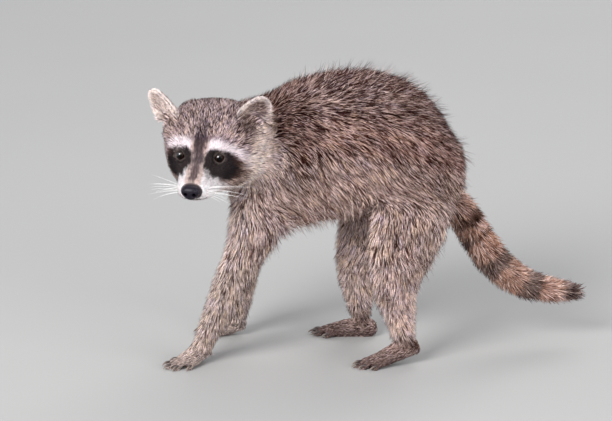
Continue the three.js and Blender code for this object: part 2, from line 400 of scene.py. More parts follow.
@dataclass
class Spine:
    """A line through the middle of a limb, tail or trunk."""

    knots: Array

    @classmethod
    def through(cls, points: Array, along: tuple[float, float, float], count: int) -> "Spine":
        """Runs the line through the middles of slices of a node.

        Args:
            points: the node's points.
            along: the direction in which the slices follow each other.
            count: how many slices there are.

        Returns:
            The line.
        """
        place = points @ unit(np.array(along))
        edges = np.linspace(place.min(), place.max(), count + 1)
        middles = []
        for low, high in zip(edges, edges[1:]):
            chosen = points[(place >= low) & (place <= high)]
            if len(chosen) > 3:
                middles.append((chosen.min(axis=0) + chosen.max(axis=0)) / 2)
        return cls(np.array(middles))

    def nearest(self, points: Array) -> tuple[Array, Array, Array]:
        """Finds where each point lies beside the line.

        Args:
            points: the points.

        Returns:
            The distance along the line, the line's direction there, and the offset from the line.
        """
        starts = self.knots[:-1]
        edges = np.diff(self.knots, axis=0)
        lengths = np.linalg.norm(edges, axis=1)
        before = np.concatenate([[0], np.cumsum(lengths)[:-1]])
        best = np.full(len(points), 1e9)
        place = np.zeros(len(points))
        heading = np.zeros((len(points), 3))
        offset = np.zeros((len(points), 3))
        last = len(edges) - 1
        for k, (start, edge, length) in enumerate(zip(starts, edges, lengths)):
            t = (points - start) @ edge / length**2
            t = np.clip(t, -9 if k == 0 else 0, 9 if k == last else 1)
            away = points - start - t[:, None] * edge
            distance = np.linalg.norm(away, axis=1)
            nearer = distance < best
            best = np.where(nearer, distance, best)
            place = np.where(nearer, before[k] + t * length, place)
            heading[nearer] = edge / length
            offset[nearer] = away[nearer]
        return place, heading, offset


# ---- node trees


class Wire:
    """A socket of a node tree. Arithmetic on it adds Math nodes."""

    def __init__(self, graph: "Graph", socket: bpy.types.NodeSocket) -> None:
        """Keeps the tree and the socket."""
        self.graph = graph
        self.socket = socket

    def _math(self, operation: str, first: object, second: object) -> "Wire":
        """Returns the result of one Math node."""
        return self.graph.add("ShaderNodeMath", {"operation": operation}, {0: first, 1: second})

    def __add__(self, other: object) -> "Wire":
        """Returns the sum."""
        return self._math("ADD", self, other)

    def __radd__(self, other: object) -> "Wire":
        """Returns the sum."""
        return self._math("ADD", other, self)

    def __sub__(self, other: object) -> "Wire":
        """Returns the difference."""
        return self._math("SUBTRACT", self, other)

    def __rsub__(self, other: object) -> "Wire":
        """Returns the difference, this socket taken away."""
        return self._math("SUBTRACT", other, self)

    def __mul__(self, other: object) -> "Wire":
        """Returns the product."""
        return self._math("MULTIPLY", self, other)

    def __rmul__(self, other: object) -> "Wire":
        """Returns the product."""
        return self._math("MULTIPLY", other, self)

    def below(self, other: object) -> "Wire":
        """Returns 1 where this socket is the smaller."""
        return self._math("LESS_THAN", self, other)

    def ramp(self, low: float, high: float) -> "Wire":
        """Returns a smooth rise from 0 at low to 1 at high."""
        settings = {"interpolation_type": "SMOOTHSTEP"}
        return self.graph.add("ShaderNodeMapRange", settings, {0: self, 1: low, 2: high, 3: 0, 4: 1})


class Graph:
    """Adds nodes to a tree."""

    def __init__(self, tree: bpy.types.NodeTree) -> None:
        """Keeps the tree."""
        self.tree = tree

    def add(
        self,
        kind: str,
        settings: dict[str, object] | None = None,
        inputs: Sockets | None = None,
        output: str | int = 0,
    ) -> Wire:
        """Adds one node.

        Args:
            kind: the node's type.
            settings: its own properties, set before its sockets.
            inputs: a wire or a value for each of its sockets that is used.
            output: the socket that is wanted from it.

        Returns:
            That socket, or the node's first input if it has no output.
        """
        node = self.tree.nodes.new(kind)
        for name, value in (settings or {}).items():
            setattr(node, name, value)
        for key, value in (inputs or {}).items():
            if isinstance(value, Wire):
                self.tree.links.new(value.socket, node.inputs[key])
            else:
                node.inputs[key].default_value = value
        return Wire(self, node.outputs[output] if len(node.outputs) else node.inputs[0])

    def mix(self, share: object, first: object, second: object, blend: str = "MIX") -> Wire:
        """Mixes two colours.

        Args:
            share: the share of the second.
            first: a colour.
            second: another.
            blend: the kind of mixing.

        Returns:
            The mixed colour.
        """
        settings = {"data_type": "RGBA", "blend_type": blend}
        colours = [(*c, 1) if isinstance(c, tuple) else c for c in (first, second)]
        return self.add("ShaderNodeMix", settings, {0: share, 6: colours[0], 7: colours[1]}, 2)

    def tinted(self, colour: object, strength: object) -> Wire:
        """Returns a colour made lighter or darker by a number."""
        return self.mix(1, colour, self.joined(strength, strength, strength), "MULTIPLY")

    def joined(self, x: object, y: object, z: object) -> Wire:
        """Returns a vector of three numbers."""
        return self.add("ShaderNodeCombineXYZ", inputs={0: x, 1: y, 2: z})

    def vector(self, operation: str, *values: object, output: str | int = 0) -> Wire:
        """Returns the result of one Vector Math node."""
        return self.add("ShaderNodeVectorMath", {"operation": operation}, dict(enumerate(values)), output)

    def attribute(self, name: str, output: str = "Fac") -> Wire:
        """Returns an attribute of the mesh."""
        return self.add("ShaderNodeAttribute", {"attribute_name": name}, output=output)

    def noise(self, scale: float, detail: float = 2, vector: Wire | None = None) -> Wire:
        """Adds noise from 0 to 1.

        Args:
            scale: waves to a metre.
            detail: how many finer layers it has.
            vector: the coordinates, if not the object's own.

        Returns:
            The noise.
        """
        place = vector or self.add("ShaderNodeTexCoord", output="Object")
        inputs = {"Vector": place, "Scale": scale, "Detail": detail}
        return self.add("ShaderNodeTexNoise", inputs=inputs)

    def bump(self, height: Wire, depth: float, strength: float = 1) -> Wire:
        """Returns a normal that shows a height of that many metres."""
        inputs = {"Strength": strength, "Distance": depth, "Height": height}
        return self.add("ShaderNodeBump", inputs=inputs)


class GeometryTree(Graph):
    """A Geometry Nodes tree with named inputs, which makes a whole piece and dresses it."""

    def __init__(self, name: str, sockets: dict[str, str]) -> None:
        """Starts the tree.

        Args:
            name: the tree's name.
            sockets: the name and the kind of each input.
        """
        super().__init__(bpy.data.node_groups.new(name, "GeometryNodeTree"))
        for label, kind in sockets.items():
            self.tree.interface.new_socket(label, in_out="INPUT", socket_type=f"NodeSocket{kind}")
        self.tree.interface.new_socket("Piece", in_out="OUTPUT", socket_type="NodeSocketGeometry")
        given = self.add("NodeGroupInput").socket.node
        self.given = [Wire(self, given.outputs[k]) for k in range(len(sockets))]

    def named(self, name: str, kind: str = "FLOAT_VECTOR") -> Wire:
        """Returns a named attribute of the points."""
        return self.add("GeometryNodeInputNamedAttribute", {"data_type": kind}, {"Name": name})

    def stored(self, geometry: Wire, name: str, value: Wire, kind: str, domain: str = "POINT") -> Wire:
        """Returns the geometry with a value kept on it as an attribute."""
        inputs = {"Geometry": geometry, "Name": name, "Value": value}
        return self.add("GeometryNodeStoreNamedAttribute", {"data_type": kind, "domain": domain}, inputs)

    def end(self, geometry: Wire, finish: Wire) -> None:
        """Smooths and dresses the geometry and makes it the tree's result."""
        soft = self.add("GeometryNodeSetShadeSmooth", inputs={"Geometry": geometry})
        dressed = self.add("GeometryNodeSetMaterial", inputs={"Geometry": soft, "Material": finish})
        self.add("NodeGroupOutput", inputs={0: dressed})

    def made(self, source: Piece, values: dict[str, object]) -> Piece:
        """Runs the tree on an object.

        Args:
            source: the object, which goes.
            values: what goes into the named inputs.

        Returns:
            The piece, as a plain mesh.
        """
        modifier = source.modifiers.new(self.tree.name, "NODES")
        modifier.node_group = self.tree
        for item in self.tree.interface.items_tree:
            if item.name in values:
                modifier[item.identifier] = values[item.name]
        return solidified(source)


@dataclass(frozen=True)
class Finish:
    """What all finishes share: a name, and a material with one Principled shader."""

    name: str

    def sockets(self, graph: Graph) -> Sockets:
        """Adds the nodes of the finish and returns what goes into the shader's sockets."""
        raise NotImplementedError

    def material(self) -> bpy.types.Material:
        """Makes the material.

        Returns:
            The material.
        """
        made = bpy.data.materials.new(self.name)
        made.use_nodes = True
        made.node_tree.nodes.clear()
        graph = Graph(made.node_tree)
        shader = graph.add("ShaderNodeBsdfPrincipled", inputs=self.sockets(graph))
        graph.add("ShaderNodeOutputMaterial", inputs={"Surface": shader})
        return made


def mesh_piece(name: str, points: Array, faces: Array) -> Piece:
    """Makes an object from points and faces.

    Args:
        name: its name.
        points: in millimetres.
        faces: with the same number of corners each.

    Returns:
        The object.
    """
    mesh = bpy.data.meshes.new(name)
    mesh.vertices.add(len(points))
    mesh.vertices.foreach_set("co", (points * MM).astype(np.float32).ravel())
    if len(faces):
        sides = faces.shape[1]
        mesh.loops.add(faces.size)
        mesh.loops.foreach_set("vertex_index", faces.astype(np.int32).ravel())
        mesh.polygons.add(len(faces))
        mesh.polygons.foreach_set("loop_start", np.arange(0, faces.size, sides, dtype=np.int32))
        mesh.polygons.foreach_set("use_smooth", np.ones(len(faces), bool))
    mesh.update(calc_edges=True)
    piece = bpy.data.objects.new(name, mesh)
    bpy.context.scene.collection.objects.link(piece)
    return piece


def read_mesh(mesh: bpy.types.Mesh) -> tuple[Array, Array]:
    """Reads a mesh.

    Args:
        mesh: the mesh.

    Returns:
        Its points in millimetres, and its triangles.
    """
    points = np.empty(len(mesh.vertices) * 3, np.float32)
    mesh.vertices.foreach_get("co", points)
    mesh.calc_loop_triangles()
    triangles = np.empty(len(mesh.loop_triangles) * 3, np.int32)
    mesh.loop_triangles.foreach_get("vertices", triangles)
    return points.reshape(-1, 3).astype(float) / MM, triangles.reshape(-1, 3)


def set_attribute(mesh: bpy.types.Mesh, name: str, kind: str, values: Array) -> None:
    """Stores one value for each point of a mesh.

    Args:
        mesh: the mesh.
        name: the attribute's name.
        kind: its type.
        values: one number or row for each point.
    """
    channel = {"FLOAT": "value", "FLOAT_VECTOR": "vector", "FLOAT_COLOR": "color"}[kind]
    if kind == "FLOAT_COLOR":
        values = np.concatenate([values, np.ones((len(values), 1))], axis=1)
    mesh.attributes.new(name, kind, "POINT").data.foreach_set(channel, values.astype(np.float32).ravel())


def solidified(source: Piece) -> Piece:
    """Applies an object's modifiers.

    Args:
        source: the object, which goes.

    Returns:
        A new object of the same name with a plain mesh.
    """
    name = source.name
    evaluated = source.evaluated_get(bpy.context.evaluated_depsgraph_get())
    mesh = bpy.data.meshes.new_from_object(evaluated)
    source.modifiers.clear()
    bpy.data.objects.remove(source)
    mesh.name = name
    piece = bpy.data.objects.new(name, mesh)
    bpy.context.scene.collection.objects.link(piece)
    return piece


def hand_over(piece: Piece, slot: str, *nodes: str) -> None:
    """Puts a finished piece on the body, hides the nodes that it stands for and reports it.

    Args:
        piece: the piece.
        slot: the name of its kind of finish; not used.
        nodes: the nodes that it stands for.
    """
    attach(piece, BODY)
    if nodes:
        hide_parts(*nodes)
    triangles = sum(len(face.vertices) - 2 for face in piece.data.polygons)
    LOG.info("%s: %d triangles", piece.name, triangles)


# ---- anatomy


@dataclass
class HeadFrame:
    """The head's own directions, found from the eyes and the nose: forward, to its left and up."""

    eye_forward: float = 2.5
    nose_forward: float = 50
    nose_drop: float = 18
    pad: tuple[float, float, float] = (50, 0, -20)
    origin: Array = field(init=False)
    axes: Array = field(init=False)

    def __post_init__(self) -> None:
        """Works out the directions."""
        left, right, nose = (self.middle(name) for name in ("eye_left", "eye_right", "nose"))
        between = (left + right) / 2
        side = unit(left - right)
        ahead = nose - between
        ahead = unit(ahead - (ahead @ side) * side)
        angle = math.atan2(self.nose_drop, self.nose_forward - self.eye_forward)
        rise = np.cross(ahead, side)
        forward = math.cos(angle) * ahead + math.sin(angle) * rise
        up = math.cos(angle) * rise - math.sin(angle) * ahead
        self.axes = np.stack([forward, side, up])
        self.origin = between - self.eye_forward * forward

    @staticmethod
    def middle(node: str) -> Array:
        """Returns the middle of a node's box."""
        low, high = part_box(node)
        return (np.array(low) + np.array(high)) / 2 / MM

    def inside(self, points: Array) -> Array:
        """Returns points of the part in the head's frame."""
        return (points - self.origin) @ self.axes.T

    def outside(self, points: Array) -> Array:
        """Returns points of the head's frame in the part's."""
        return np.asarray(points, float) @ self.axes + self.origin

    def from_pad(self, points: Array) -> Array:
        """Returns 0 in the middle of the nose pad and about 1 at its edge."""
        return np.linalg.norm((self.inside(points) - self.pad) / (9.5, 11.2, 8.6), axis=1)

    def direction(self, vectors: Array) -> Array:
        """Returns directions of the head's frame in the part's."""
        return np.asarray(vectors, float) @ self.axes


@dataclass(frozen=True)
class EyeSeat:
    """Where one eye sits, how it looks and how far its lids are open."""

    middle: Array
    radius: float
    look: Array
    side: Array
    up: Array
    half_width: float = 1.14
    half_height: float = 1.10

    @classmethod
    def of(cls, head: HeadFrame, name: str) -> "EyeSeat":
        """Seats the eye of one side.

        Args:
            head: the head's frame.
            name: the side.

        Returns:
            The seat.
        """
        low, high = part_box(f"eye_{name}")
        radius = float(np.min(np.array(high) - np.array(low))) / 2 / MM
        turn = math.radians(15)
        look = unit(head.direction([math.cos(turn), SIDES[name] * math.sin(turn), 0.15]))
        outward = head.direction([-math.sin(turn), SIDES[name] * math.cos(turn), 0.12])
        side = unit(outward - (outward @ look) * look)
        up = unit(np.cross(look, side)) * SIDES[name]
        return cls(head.middle(f"eye_{name}"), radius, look, side, up)

    def away(self, points: Array) -> Array:
        """Returns the distance of each point from the middle of the eye."""
        return np.linalg.norm(points - self.middle, axis=1)

    def opening(self, points: Array) -> Array:
        """Measures the opening between the lids.

        Args:
            points: the places.

        Returns:
            0 in the middle, 1 at the lids' edge and more outside.
        """
        rays = points - self.middle
        across = np.arctan2(rays @ self.side, rays @ self.look) / self.half_width
        rise = np.arctan2(rays @ self.up, rays @ self.look) / self.half_height
        corner = 1 - 0.14 * np.clip(np.abs(across), 0, 1) ** 2
        beyond = smooth(self.radius + 1.8, self.radius + 4.3, np.linalg.norm(rays, axis=1))
        return np.hypot(across, rise / corner) + 1.5 * beyond


@dataclass(frozen=True)
class EarSeat:
    """Where one ear stands and which way its cup opens."""

    root: Array
    axis: Array
    facing: Array
    across: Array
    length: float = 39
    half_width: float = 20.5
    cup: float = 9

    @classmethod
    def of(cls, head: HeadFrame, name: str) -> "EarSeat":
        """Seats the ear of one side.

        Args:
            head: the head's frame.
            name: the side.

        Returns:
            The seat.
        """
        side = SIDES[name]
        lean, turn = math.radians(25), math.radians(42)
        axis = unit(head.direction([0.06, side * math.sin(lean), math.cos(lean)]))
        facing = head.direction([math.cos(turn), side * math.sin(turn), 0])
        facing = unit(facing - (facing @ axis) * axis)
        return cls(head.outside([-41, side * 43, 18]), axis, facing, np.cross(facing, axis))

    def inside(self, points: Array) -> tuple[Array, Array, Array]:
        """Finds where points lie on the ear.

        Args:
            points: the points.

        Returns:
            The share of its length from the root, the share of its half width, and the distance in
            front of the middle of its thickness in millimetres.
        """
        rays = points - self.root
        rise = rays @ self.axis / self.length
        kept = np.clip(rise, 0, 0.999)
        belly = 0.88 + 0.12 * np.sin(np.pi * kept)
        half = self.half_width * belly * (1 - kept**3.2) ** 0.48
        share = rays @ self.across / np.maximum(half, 3)
        hollow = self.cup * (1 - 0.5 * kept) * np.sqrt(1 - kept**4)
        front = rays @ self.facing - hollow * (np.clip(share, -1, 1) ** 2 - 1)
        return rise, share, front


@dataclass(frozen=True)
class Pelt:
    """How the coat grows on one part: millimetres, tufts to a square millimetre and degrees."""

    length: float
    width: float
    depth: float
    density: float
    lift: float
    clump: float
    dark: float
    band: float


class Part(Enum):
    """The parts of the body on which the coat grows in its own way, each with its pelt."""

    MUZZLE = Pelt(3.8, 0.42, 1.5, 2.3, 20, 0.2, 0, 0.1)
    MASK = Pelt(5, 0.50, 2.2, 1.7, 20, 0.25, 0, 0.15)
    CROWN = Pelt(8.5, 0.50, 4.5, 1.3, 34, 0.25, 0.36, 1)
    CHEEK = Pelt(12, 0.62, 5.5, 1, 34, 0.35, 0.14, 0.7)
    RUFF = Pelt(15, 0.68, 6.5, 0.9, 46, 0.35, 0.10, 0.7)
    EAR = Pelt(4.6, 0.42, 0.8, 1.6, 18, 0.2, 0.05, 0.05)
    NECK = Pelt(21, 0.78, 11, 0.62, 40, 0.3, 0.40, 1)
    TRUNK = Pelt(24, 0.80, 12.5, 0.58, 42, 0.38, 0.42, 1)
    TAIL = Pelt(18, 0.82, 9.5, 0.80, 38, 0.3, 0.10, 0.4)
    UPPER_LEG = Pelt(21, 0.74, 8, 0.48, 34, 0.35, 0.25, 1)
    LOWER_LEG = Pelt(14.5, 0.66, 4, 0.68, 32, 0.3, 0.15, 0.9)
    PAW = Pelt(7, 0.56, 1.4, 1.2, 20, 0.3, 0.15, 0.5)
    TOES = Pelt(4, 0.45, 0.7, 1.4, 16, 0.2, 0.05, 0.2)


HEAD_PARTS = (Part.MUZZLE, Part.MASK, Part.CROWN, Part.CHEEK, Part.RUFF)
LEG_PARTS = (Part.UPPER_LEG, Part.LOWER_LEG, Part.PAW, Part.TOES)
LONG_HAIRED = (Part.NECK, Part.TRUNK, Part.TAIL, Part.UPPER_LEG, Part.LOWER_LEG)
PAWS = ("paw_front_left", "paw_front_right", "paw_hind_left", "paw_hind_right")
LEGS = ("leg_front_left", "leg_front_right", "leg_hind_left", "leg_hind_right")
FLESH = ("head", "ear_left", "ear_right", "neck", "trunk", "tail", *LEGS, *PAWS)


@dataclass
class Anatomy:
    """The outline of the coat, and which part of the animal each place belongs to."""

    pitch: float = 1.3
    coarse: float = 3.0
    margin: float = 14
    meshes: dict[str, tuple[Array, Array]] = field(init=False)
    head: HeadFrame = field(init=False)
    eyes: dict[str, EyeSeat] = field(init=False)
    ears: dict[str, EarSeat] = field(init=False)
    spines: dict[str, Spine] = field(init=False)
    claims: Volume = field(init=False)
    low: Array = field(init=False)
    high: Array = field(init=False)

    def __post_init__(self) -> None:
        """Reads the nodes and measures them."""
        self.meshes = {name: read_mesh(node.data) for name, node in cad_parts.items()}
        self.head = HeadFrame()
        self.eyes = {name: EyeSeat.of(self.head, name) for name in SIDES}
        self.ears = {name: EarSeat.of(self.head, name) for name in SIDES}
        everything = np.concatenate([points for points, _ in self.meshes.values()])
        self.low = everything.min(axis=0) - self.margin
        self.high = everything.max(axis=0) + self.margin
        self.spines = {name: Spine.through(self.meshes[name][0], (0, 0, -1), 7) for name in LEGS}
        self.spines["tail"] = Spine.through(self.meshes["tail"][0], (1, 0, -1), 10)
        self.spines["trunk"] = Spine.through(self.meshes["trunk"][0], (1, 0, 0), 7)
        claims = np.stack([self.claim(name) for name in FLESH], axis=-1)
        self.claims = Volume(self.low, self.coarse, claims / (claims.sum(axis=-1, keepdims=True) + 1e-9))

    def claim(self, name: str) -> Array:
        """Finds how strongly a node claims each place.

        Args:
            name: the node.

        Returns:
            The claim over the grid, full inside the node and fading outside.
        """
        fade, core, weight = 7, 2, 1
        if name == "head":
            fade, core, weight = 1.8, 3.5, 3
        elif name.startswith(("paw", "ear")):
            fade = 1.6
        volume = Volume.around(self.low, self.high, self.coarse)
        volume.fill_distance(*self.meshes[name], outside=24, inside=9)
        return weight * np.exp(-np.clip(volume.values, -core, None) / fade)

    def owners(self, points: Array) -> dict[str, Array]:
        """Returns the share of each node of flesh at each point."""
        return dict(zip(FLESH, self.claims.at(points).T))

    def parts(self, points: Array) -> dict[Part, Array]:
        """Tells the parts of the body apart.

        Args:
            points: the places.

        Returns:
            The share of each part at each.
        """
        claims = self.owners(points)
        legs = sum(claims[name] for name in LEGS)
        paws = sum(claims[name] for name in PAWS)
        low = 1 - smooth(48, 150, points[:, 2])
        toes = 1 - smooth(7, 13, points[:, 2])
        forward, left, up = self.head.inside(points).T
        side = np.abs(left)
        head = claims["head"]
        snout = smooth(4, 12, forward)
        ruff = smooth(30, 46, side + np.clip(-up - 20, 0, None) * 0.8)
        ruff = smooth(-16, -42, forward) * ruff
        cheek = (1 - ruff) * smooth(24, 42, side + np.clip(-up - 12, 0, None))
        cheek = cheek * smooth(24, 4, up)
        mask = (1 - ruff - cheek) * smooth(-8, 0, forward)
        crown = 1 - ruff - cheek - mask
        return {
            Part.MUZZLE: head * snout,
            Part.MASK: head * (1 - snout) * mask,
            Part.CROWN: head * (1 - snout) * crown,
            Part.CHEEK: head * (1 - snout) * cheek,
            Part.RUFF: head * (1 - snout) * ruff,
            Part.EAR: claims["ear_left"] + claims["ear_right"],
            Part.NECK: claims["neck"],
            Part.TRUNK: claims["trunk"],
            Part.TAIL: claims["tail"],
            Part.UPPER_LEG: legs * (1 - low),
            Part.LOWER_LEG: legs * low,
            Part.PAW: paws * (1 - toes),
            Part.TOES: paws * toes,
        }

    @staticmethod
    def blend(parts: dict[Part, Array], wanted: str) -> Array:
        """Returns one size of the pelts, mixed by the parts' shares."""
        return sum(share * getattr(part.value, wanted) for part, share in parts.items())

    def depth(self, points: Array, parts: dict[Part, Array]) -> Array:
        """Finds how deep the coat is, less at the tail's tip and at the roots of the ears.

        Args:
            points: the places.
            parts: the parts' shares there.

        Returns:
            The depth in millimetres.
        """
        depth = self.blend(parts, "depth") * (1 - 0.45 * self.tail_end(points) * parts[Part.TAIL])
        for seat in self.ears.values():
            depth *= 1 - 0.75 * smooth(22, 8, np.linalg.norm(points - seat.root, axis=1))
        return depth

    def tail_end(self, points: Array) -> Array:
        """Returns 0 along most of the tail and 1 at its tip."""
        return smooth(self.high[0] - self.margin - 75, self.high[0] - self.margin - 5, points[:, 0])


# ---- markings


@dataclass(frozen=True)
class Markings:
    """The colours of the coat, the same for the hair and for the skin under it."""

    anatomy: Anatomy
    mask: tuple[tuple[float, float], ...] = (
        (6.8, 3), (8.5, 8), (13.5, 11), (21, 9), (28.5, 6.5), (35, 1.5), (40, -4),
        (44, -11), (43.5, -20), (38, -26), (29, -27.5), (20, -17.6), (13.4, -9.2), (8, -3.6),
    )
    brow: tuple[tuple[float, float], ...] = (
        (6.5, 8), (7, 17), (14, 18.5), (22, 18), (33, 12.5), (44, 6), (52, -3),
        (56, -14), (54, -22), (49, -20), (45, -10), (40, -2), (34, 3), (22, 9),
        (13, 11), (8.5, 8),
    )
    cheek: tuple[tuple[float, float], ...] = (
        (38, -7), (47, -7), (52, -15), (52, -29), (44, -39), (31, -41), (20, -31), (30, -27),
    )
    tail_rings: tuple[tuple[float, float], ...] = ((30, 5), (53, 5.6), (93.6, 10), (146, 11))
    tail_tip: float = 184

    def head_colours(self, points: Array, ripple: Array) -> tuple[Array, Array]:
        """Paints the head, with painted shade on the temples and painted shadow over the darker fur behind
        the ears.

        Args:
            points: places on the head.
            ripple: noise that roughens the edges of the markings.

        Returns:
            The colour, and how much of the grizzling is left, at each place.
        """
        forward, left, up = self.anatomy.head.inside(points).T
        side = np.abs(left) + 1.1 * ripple
        up = up + 1.1 * np.roll(ripple, 7)
        coat = Layers.plain(points, Dye.CROWN)
        # darker nape: partly the fur's own darker brown, partly painted shadow where the head meets the
        # neck
        coat.lay(Dye.NAPE, smooth(-46, -66, forward) * smooth(8, 24, up))
        below = np.clip(-up, 0, 40)
        pale = smooth(48, 56, side + 0.5 * below) * smooth(26, 14, up) + smooth(-30, -42, up)
        pale = np.clip(pale, 0, 1)
        coat.lay(Dye.RUFF, pale)
        # painted shade on the side of the crown between the eye and the ear
        temple_shade = smooth(9, 1, np.abs(side - 46) - 6) * smooth(0, 8, up) * smooth(36, 26, up)
        temple_shade *= smooth(-50, -42, forward) * smooth(-8, -18, forward)
        coat.lay(Dye.TEMPLE, 0.75 * temple_shade)
        ear_foot = smooth(4, -3, np.abs(forward + 30) - 10)
        ear_foot = ear_foot * smooth(8, 0, np.abs(side - 44) - 6)
        coat.lay(Dye.EAR_FOOT, 0.9 * ear_foot * smooth(14, 22, up))
        cheek = smooth(-3, 4, within(self.cheek, side, up)) * smooth(-25, -14, forward)
        coat.lay(Dye.CHEEK, 0.92 * cheek)
        muzzle = smooth(-2, 9, forward + 0.25 * (-up - 20))
        coat.lay(Dye.MUZZLE, muzzle)
        brow = smooth(-2.2, 1.6, within(self.brow, side, up)) * smooth(-24, -12, forward)
        brow = brow * (1 - 0.5 * smooth(40, 50, side))
        coat.lay(Dye.BROW, brow)
        bridge = smooth(10.6, 7.6, side) * smooth(-4, 4, forward)
        coat.lay(Dye.BRIDGE, 0.6 * (bridge * smooth(-14, -5, up + 0.45 * (forward - 20))))
        inset = within(self.mask, side, up)
        fringe = smooth(-6, -1, inset) * smooth(-16, -21, up) * smooth(17, 9, forward)
        coat.lay(Dye.MASK_FRINGE, 0.85 * fringe)
        mask = smooth(-1.6, 1.6, inset) * smooth(-22, -14, forward)
        edge = smooth(30, 42, side) * smooth(7, 0, inset)
        coat.lay(Layers.plain(points, Dye.MASK).lay(Dye.MASK_EDGE, edge), mask)
        half = np.interp(forward, [-40, -16, 0, 18, 28, 41], [4.5, 6, 6.8, 6.2, 4.4, 3.2])
        stripe = smooth(2.6, -2, side + 0.9 * ripple - half)
        stripe = stripe * smooth(-34, -2, forward) * smooth(-13, -9, up)
        dusk = Layers.plain(points, Dye.STRIPE).lay(Dye.STRIPE_END, smooth(14, 32, forward))
        coat.lay(dusk, 0.9 * stripe)
        along = self.anatomy.head.inside(points) * (0.22, 1, 0.22)
        streak = Lattice(1.5, 16).at(along) + 0.6 * Lattice(0.8, 17).at(along)
        coat.rows *= (1 + (0.12 + 0.38 * stripe) * streak)[:, None]
        self.paint_bare_skin(coat, points)
        lips = smooth(1.6, 0.5, np.abs(up - self.lip_line(forward, side))) * smooth(6, 16, forward)
        coat.lay(Dye.LIPS, lips * smooth(-26, -29, up))
        coat.lay(Dye.NOSTRIL, smooth(1.2, 1.02, self.anatomy.head.from_pad(points)))
        left = (1 - 0.3 * pale) * (1 - muzzle) * (1 - brow) * (1 - mask) * (1 - 0.35 * stripe)
        return coat.rows, left

    def paint_bare_skin(self, coat: Layers, points: Array) -> None:
        """Paints the lids and the skin around the eyes.

        Args:
            coat: what it is painted over.
            points: places on the head.
        """
        for seat in self.anatomy.eyes.values():
            opening = seat.opening(points)
            near = smooth(1.75, 1.3, opening) * smooth(16, 11, seat.away(points))
            coat.lay(Dye.LID, near)
            lower = smooth(-1, -4, (points - seat.middle) @ seat.up)
            coat.lay(Dye.LID_RIM, 0.1 * (smooth(0.14, 0.04, np.abs(opening - 1.06)) * lower) * near)

    @staticmethod
    def lip_line(forward: Array, side: Array) -> Array:
        """Returns the height of the mouth's line on the side of the muzzle."""
        return -30 - 0.13 * (48 - forward) - 0.05 * side

    def ear_colours(self, points: Array) -> Array:
        """Paints the ears: a pale rim, a grizzled hollow whose middle is darker, partly from dark hair and
        partly as painted shade laid more fully on the left ear, and a dark back.

        Args:
            points: places on the ears.

        Returns:
            The colours.
        """
        colours = np.zeros((len(points), 3))
        left = self.anatomy.head.inside(points)[:, 1] > 0
        for name, chosen, shadow in (("left", left, 1), ("right", ~left, 0.45)):
            rise, share, front = self.anatomy.ears[name].inside(points[chosen])
            hollow = smooth(0.5, 1.5, front)
            ear = Layers.plain(rise, Dye.EAR)
            ear.lay(Dye.EAR_BACK, smooth(0.5, -0.5, front) * smooth(0.95, 0.3, rise))
            ear.lay(Dye.EAR_HOLLOW, hollow * 0.9)
            # middle of the hollow: dark grizzled hair with painted shade, full on the left ear and weaker
            # on the right, whose hollow is lit
            middle = smooth(1, 0.75, np.hypot(share * 1.2, (rise - 0.46) / 0.5)) * hollow
            speck = 0.5 + 0.5 * np.clip(2.5 * Lattice(1.9, 15).at(points[chosen]), -1, 1)
            ear.lay(Layers.plain(rise, Dye.EAR_DUSK).lay(Dye.EAR_SPECK, speck), middle * shadow)
            ear.lay(Dye.EAR_ROOT, smooth(0.30, 0.10, rise) * 0.9)
            rim = np.maximum(smooth(0.74, 0.88, np.abs(share)), smooth(0.82, 0.92, rise))
            ear.lay(Dye.EAR_RIM, rim * smooth(0.02, 0.2, rise))
            colours[chosen] = ear.rows
        return colours

    def trunk_colours(self, points: Array) -> tuple[Array, Array]:
        """Paints the trunk and neck, darkest along the back, with painted shadow on the neck and shoulders
        behind the head.

        Args:
            points: places on the trunk or neck.

        Returns:
            The colour, and how much of the grizzling is left, at each place.
        """
        height = unit(self.anatomy.spines["trunk"].nearest(points)[2])[:, 2]
        x = points[:, 0]
        belly = smooth(0.1, -0.5, height)
        chest = smooth(-84, -122, x) * smooth(0.5, 0.05, height)
        coat = Layers.plain(points, Dye.FLANK)
        coat.lay(Dye.BACK, smooth(0.3, 0.85, height))
        coat.lay(Dye.BELLY, belly)
        coat.lay(Dye.RUMP, 0.8 * smooth(20, 70, x) * smooth(0.9, 0.5, height))
        coat.lay(Dye.RIDGE, 0.6 * (smooth(0.4, 0.85, height) * smooth(-30, 50, x)))
        # darker neck and shoulders: partly the fur's own darker brown, partly painted shadow behind the
        # head
        coat.lay(Dye.SHOULDER, smooth(-50, -95, x) * smooth(-0.7, -0.2, height))
        coat.lay(Dye.CHEST, chest)
        return coat.rows, 1 - 0.7 * chest - 0.3 * belly * (1 - chest)

    def tail_colours(self, points: Array, ripple: Array) -> Array:
        """Paints the ringed tail.

        Args:
            points: places on the tail.
            ripple: noise that roughens the edges of the rings.

        Returns:
            The colours.
        """
        place = self.anatomy.spines["tail"].nearest(points)[0] + 2.5 * ripple
        coat = Layers.plain(points, Dye.TAIL)
        for middle, half in self.tail_rings:
            coat.lay(Dye.TAIL_RING, 0.94 * smooth(half + 2, half - 2, np.abs(place - middle)))
        coat.lay(Dye.TAIL_TIP, smooth(self.tail_tip - 5, self.tail_tip + 4, place))
        return coat.lay(Dye.TAIL_ROOT, smooth(26, 6, place)).rows

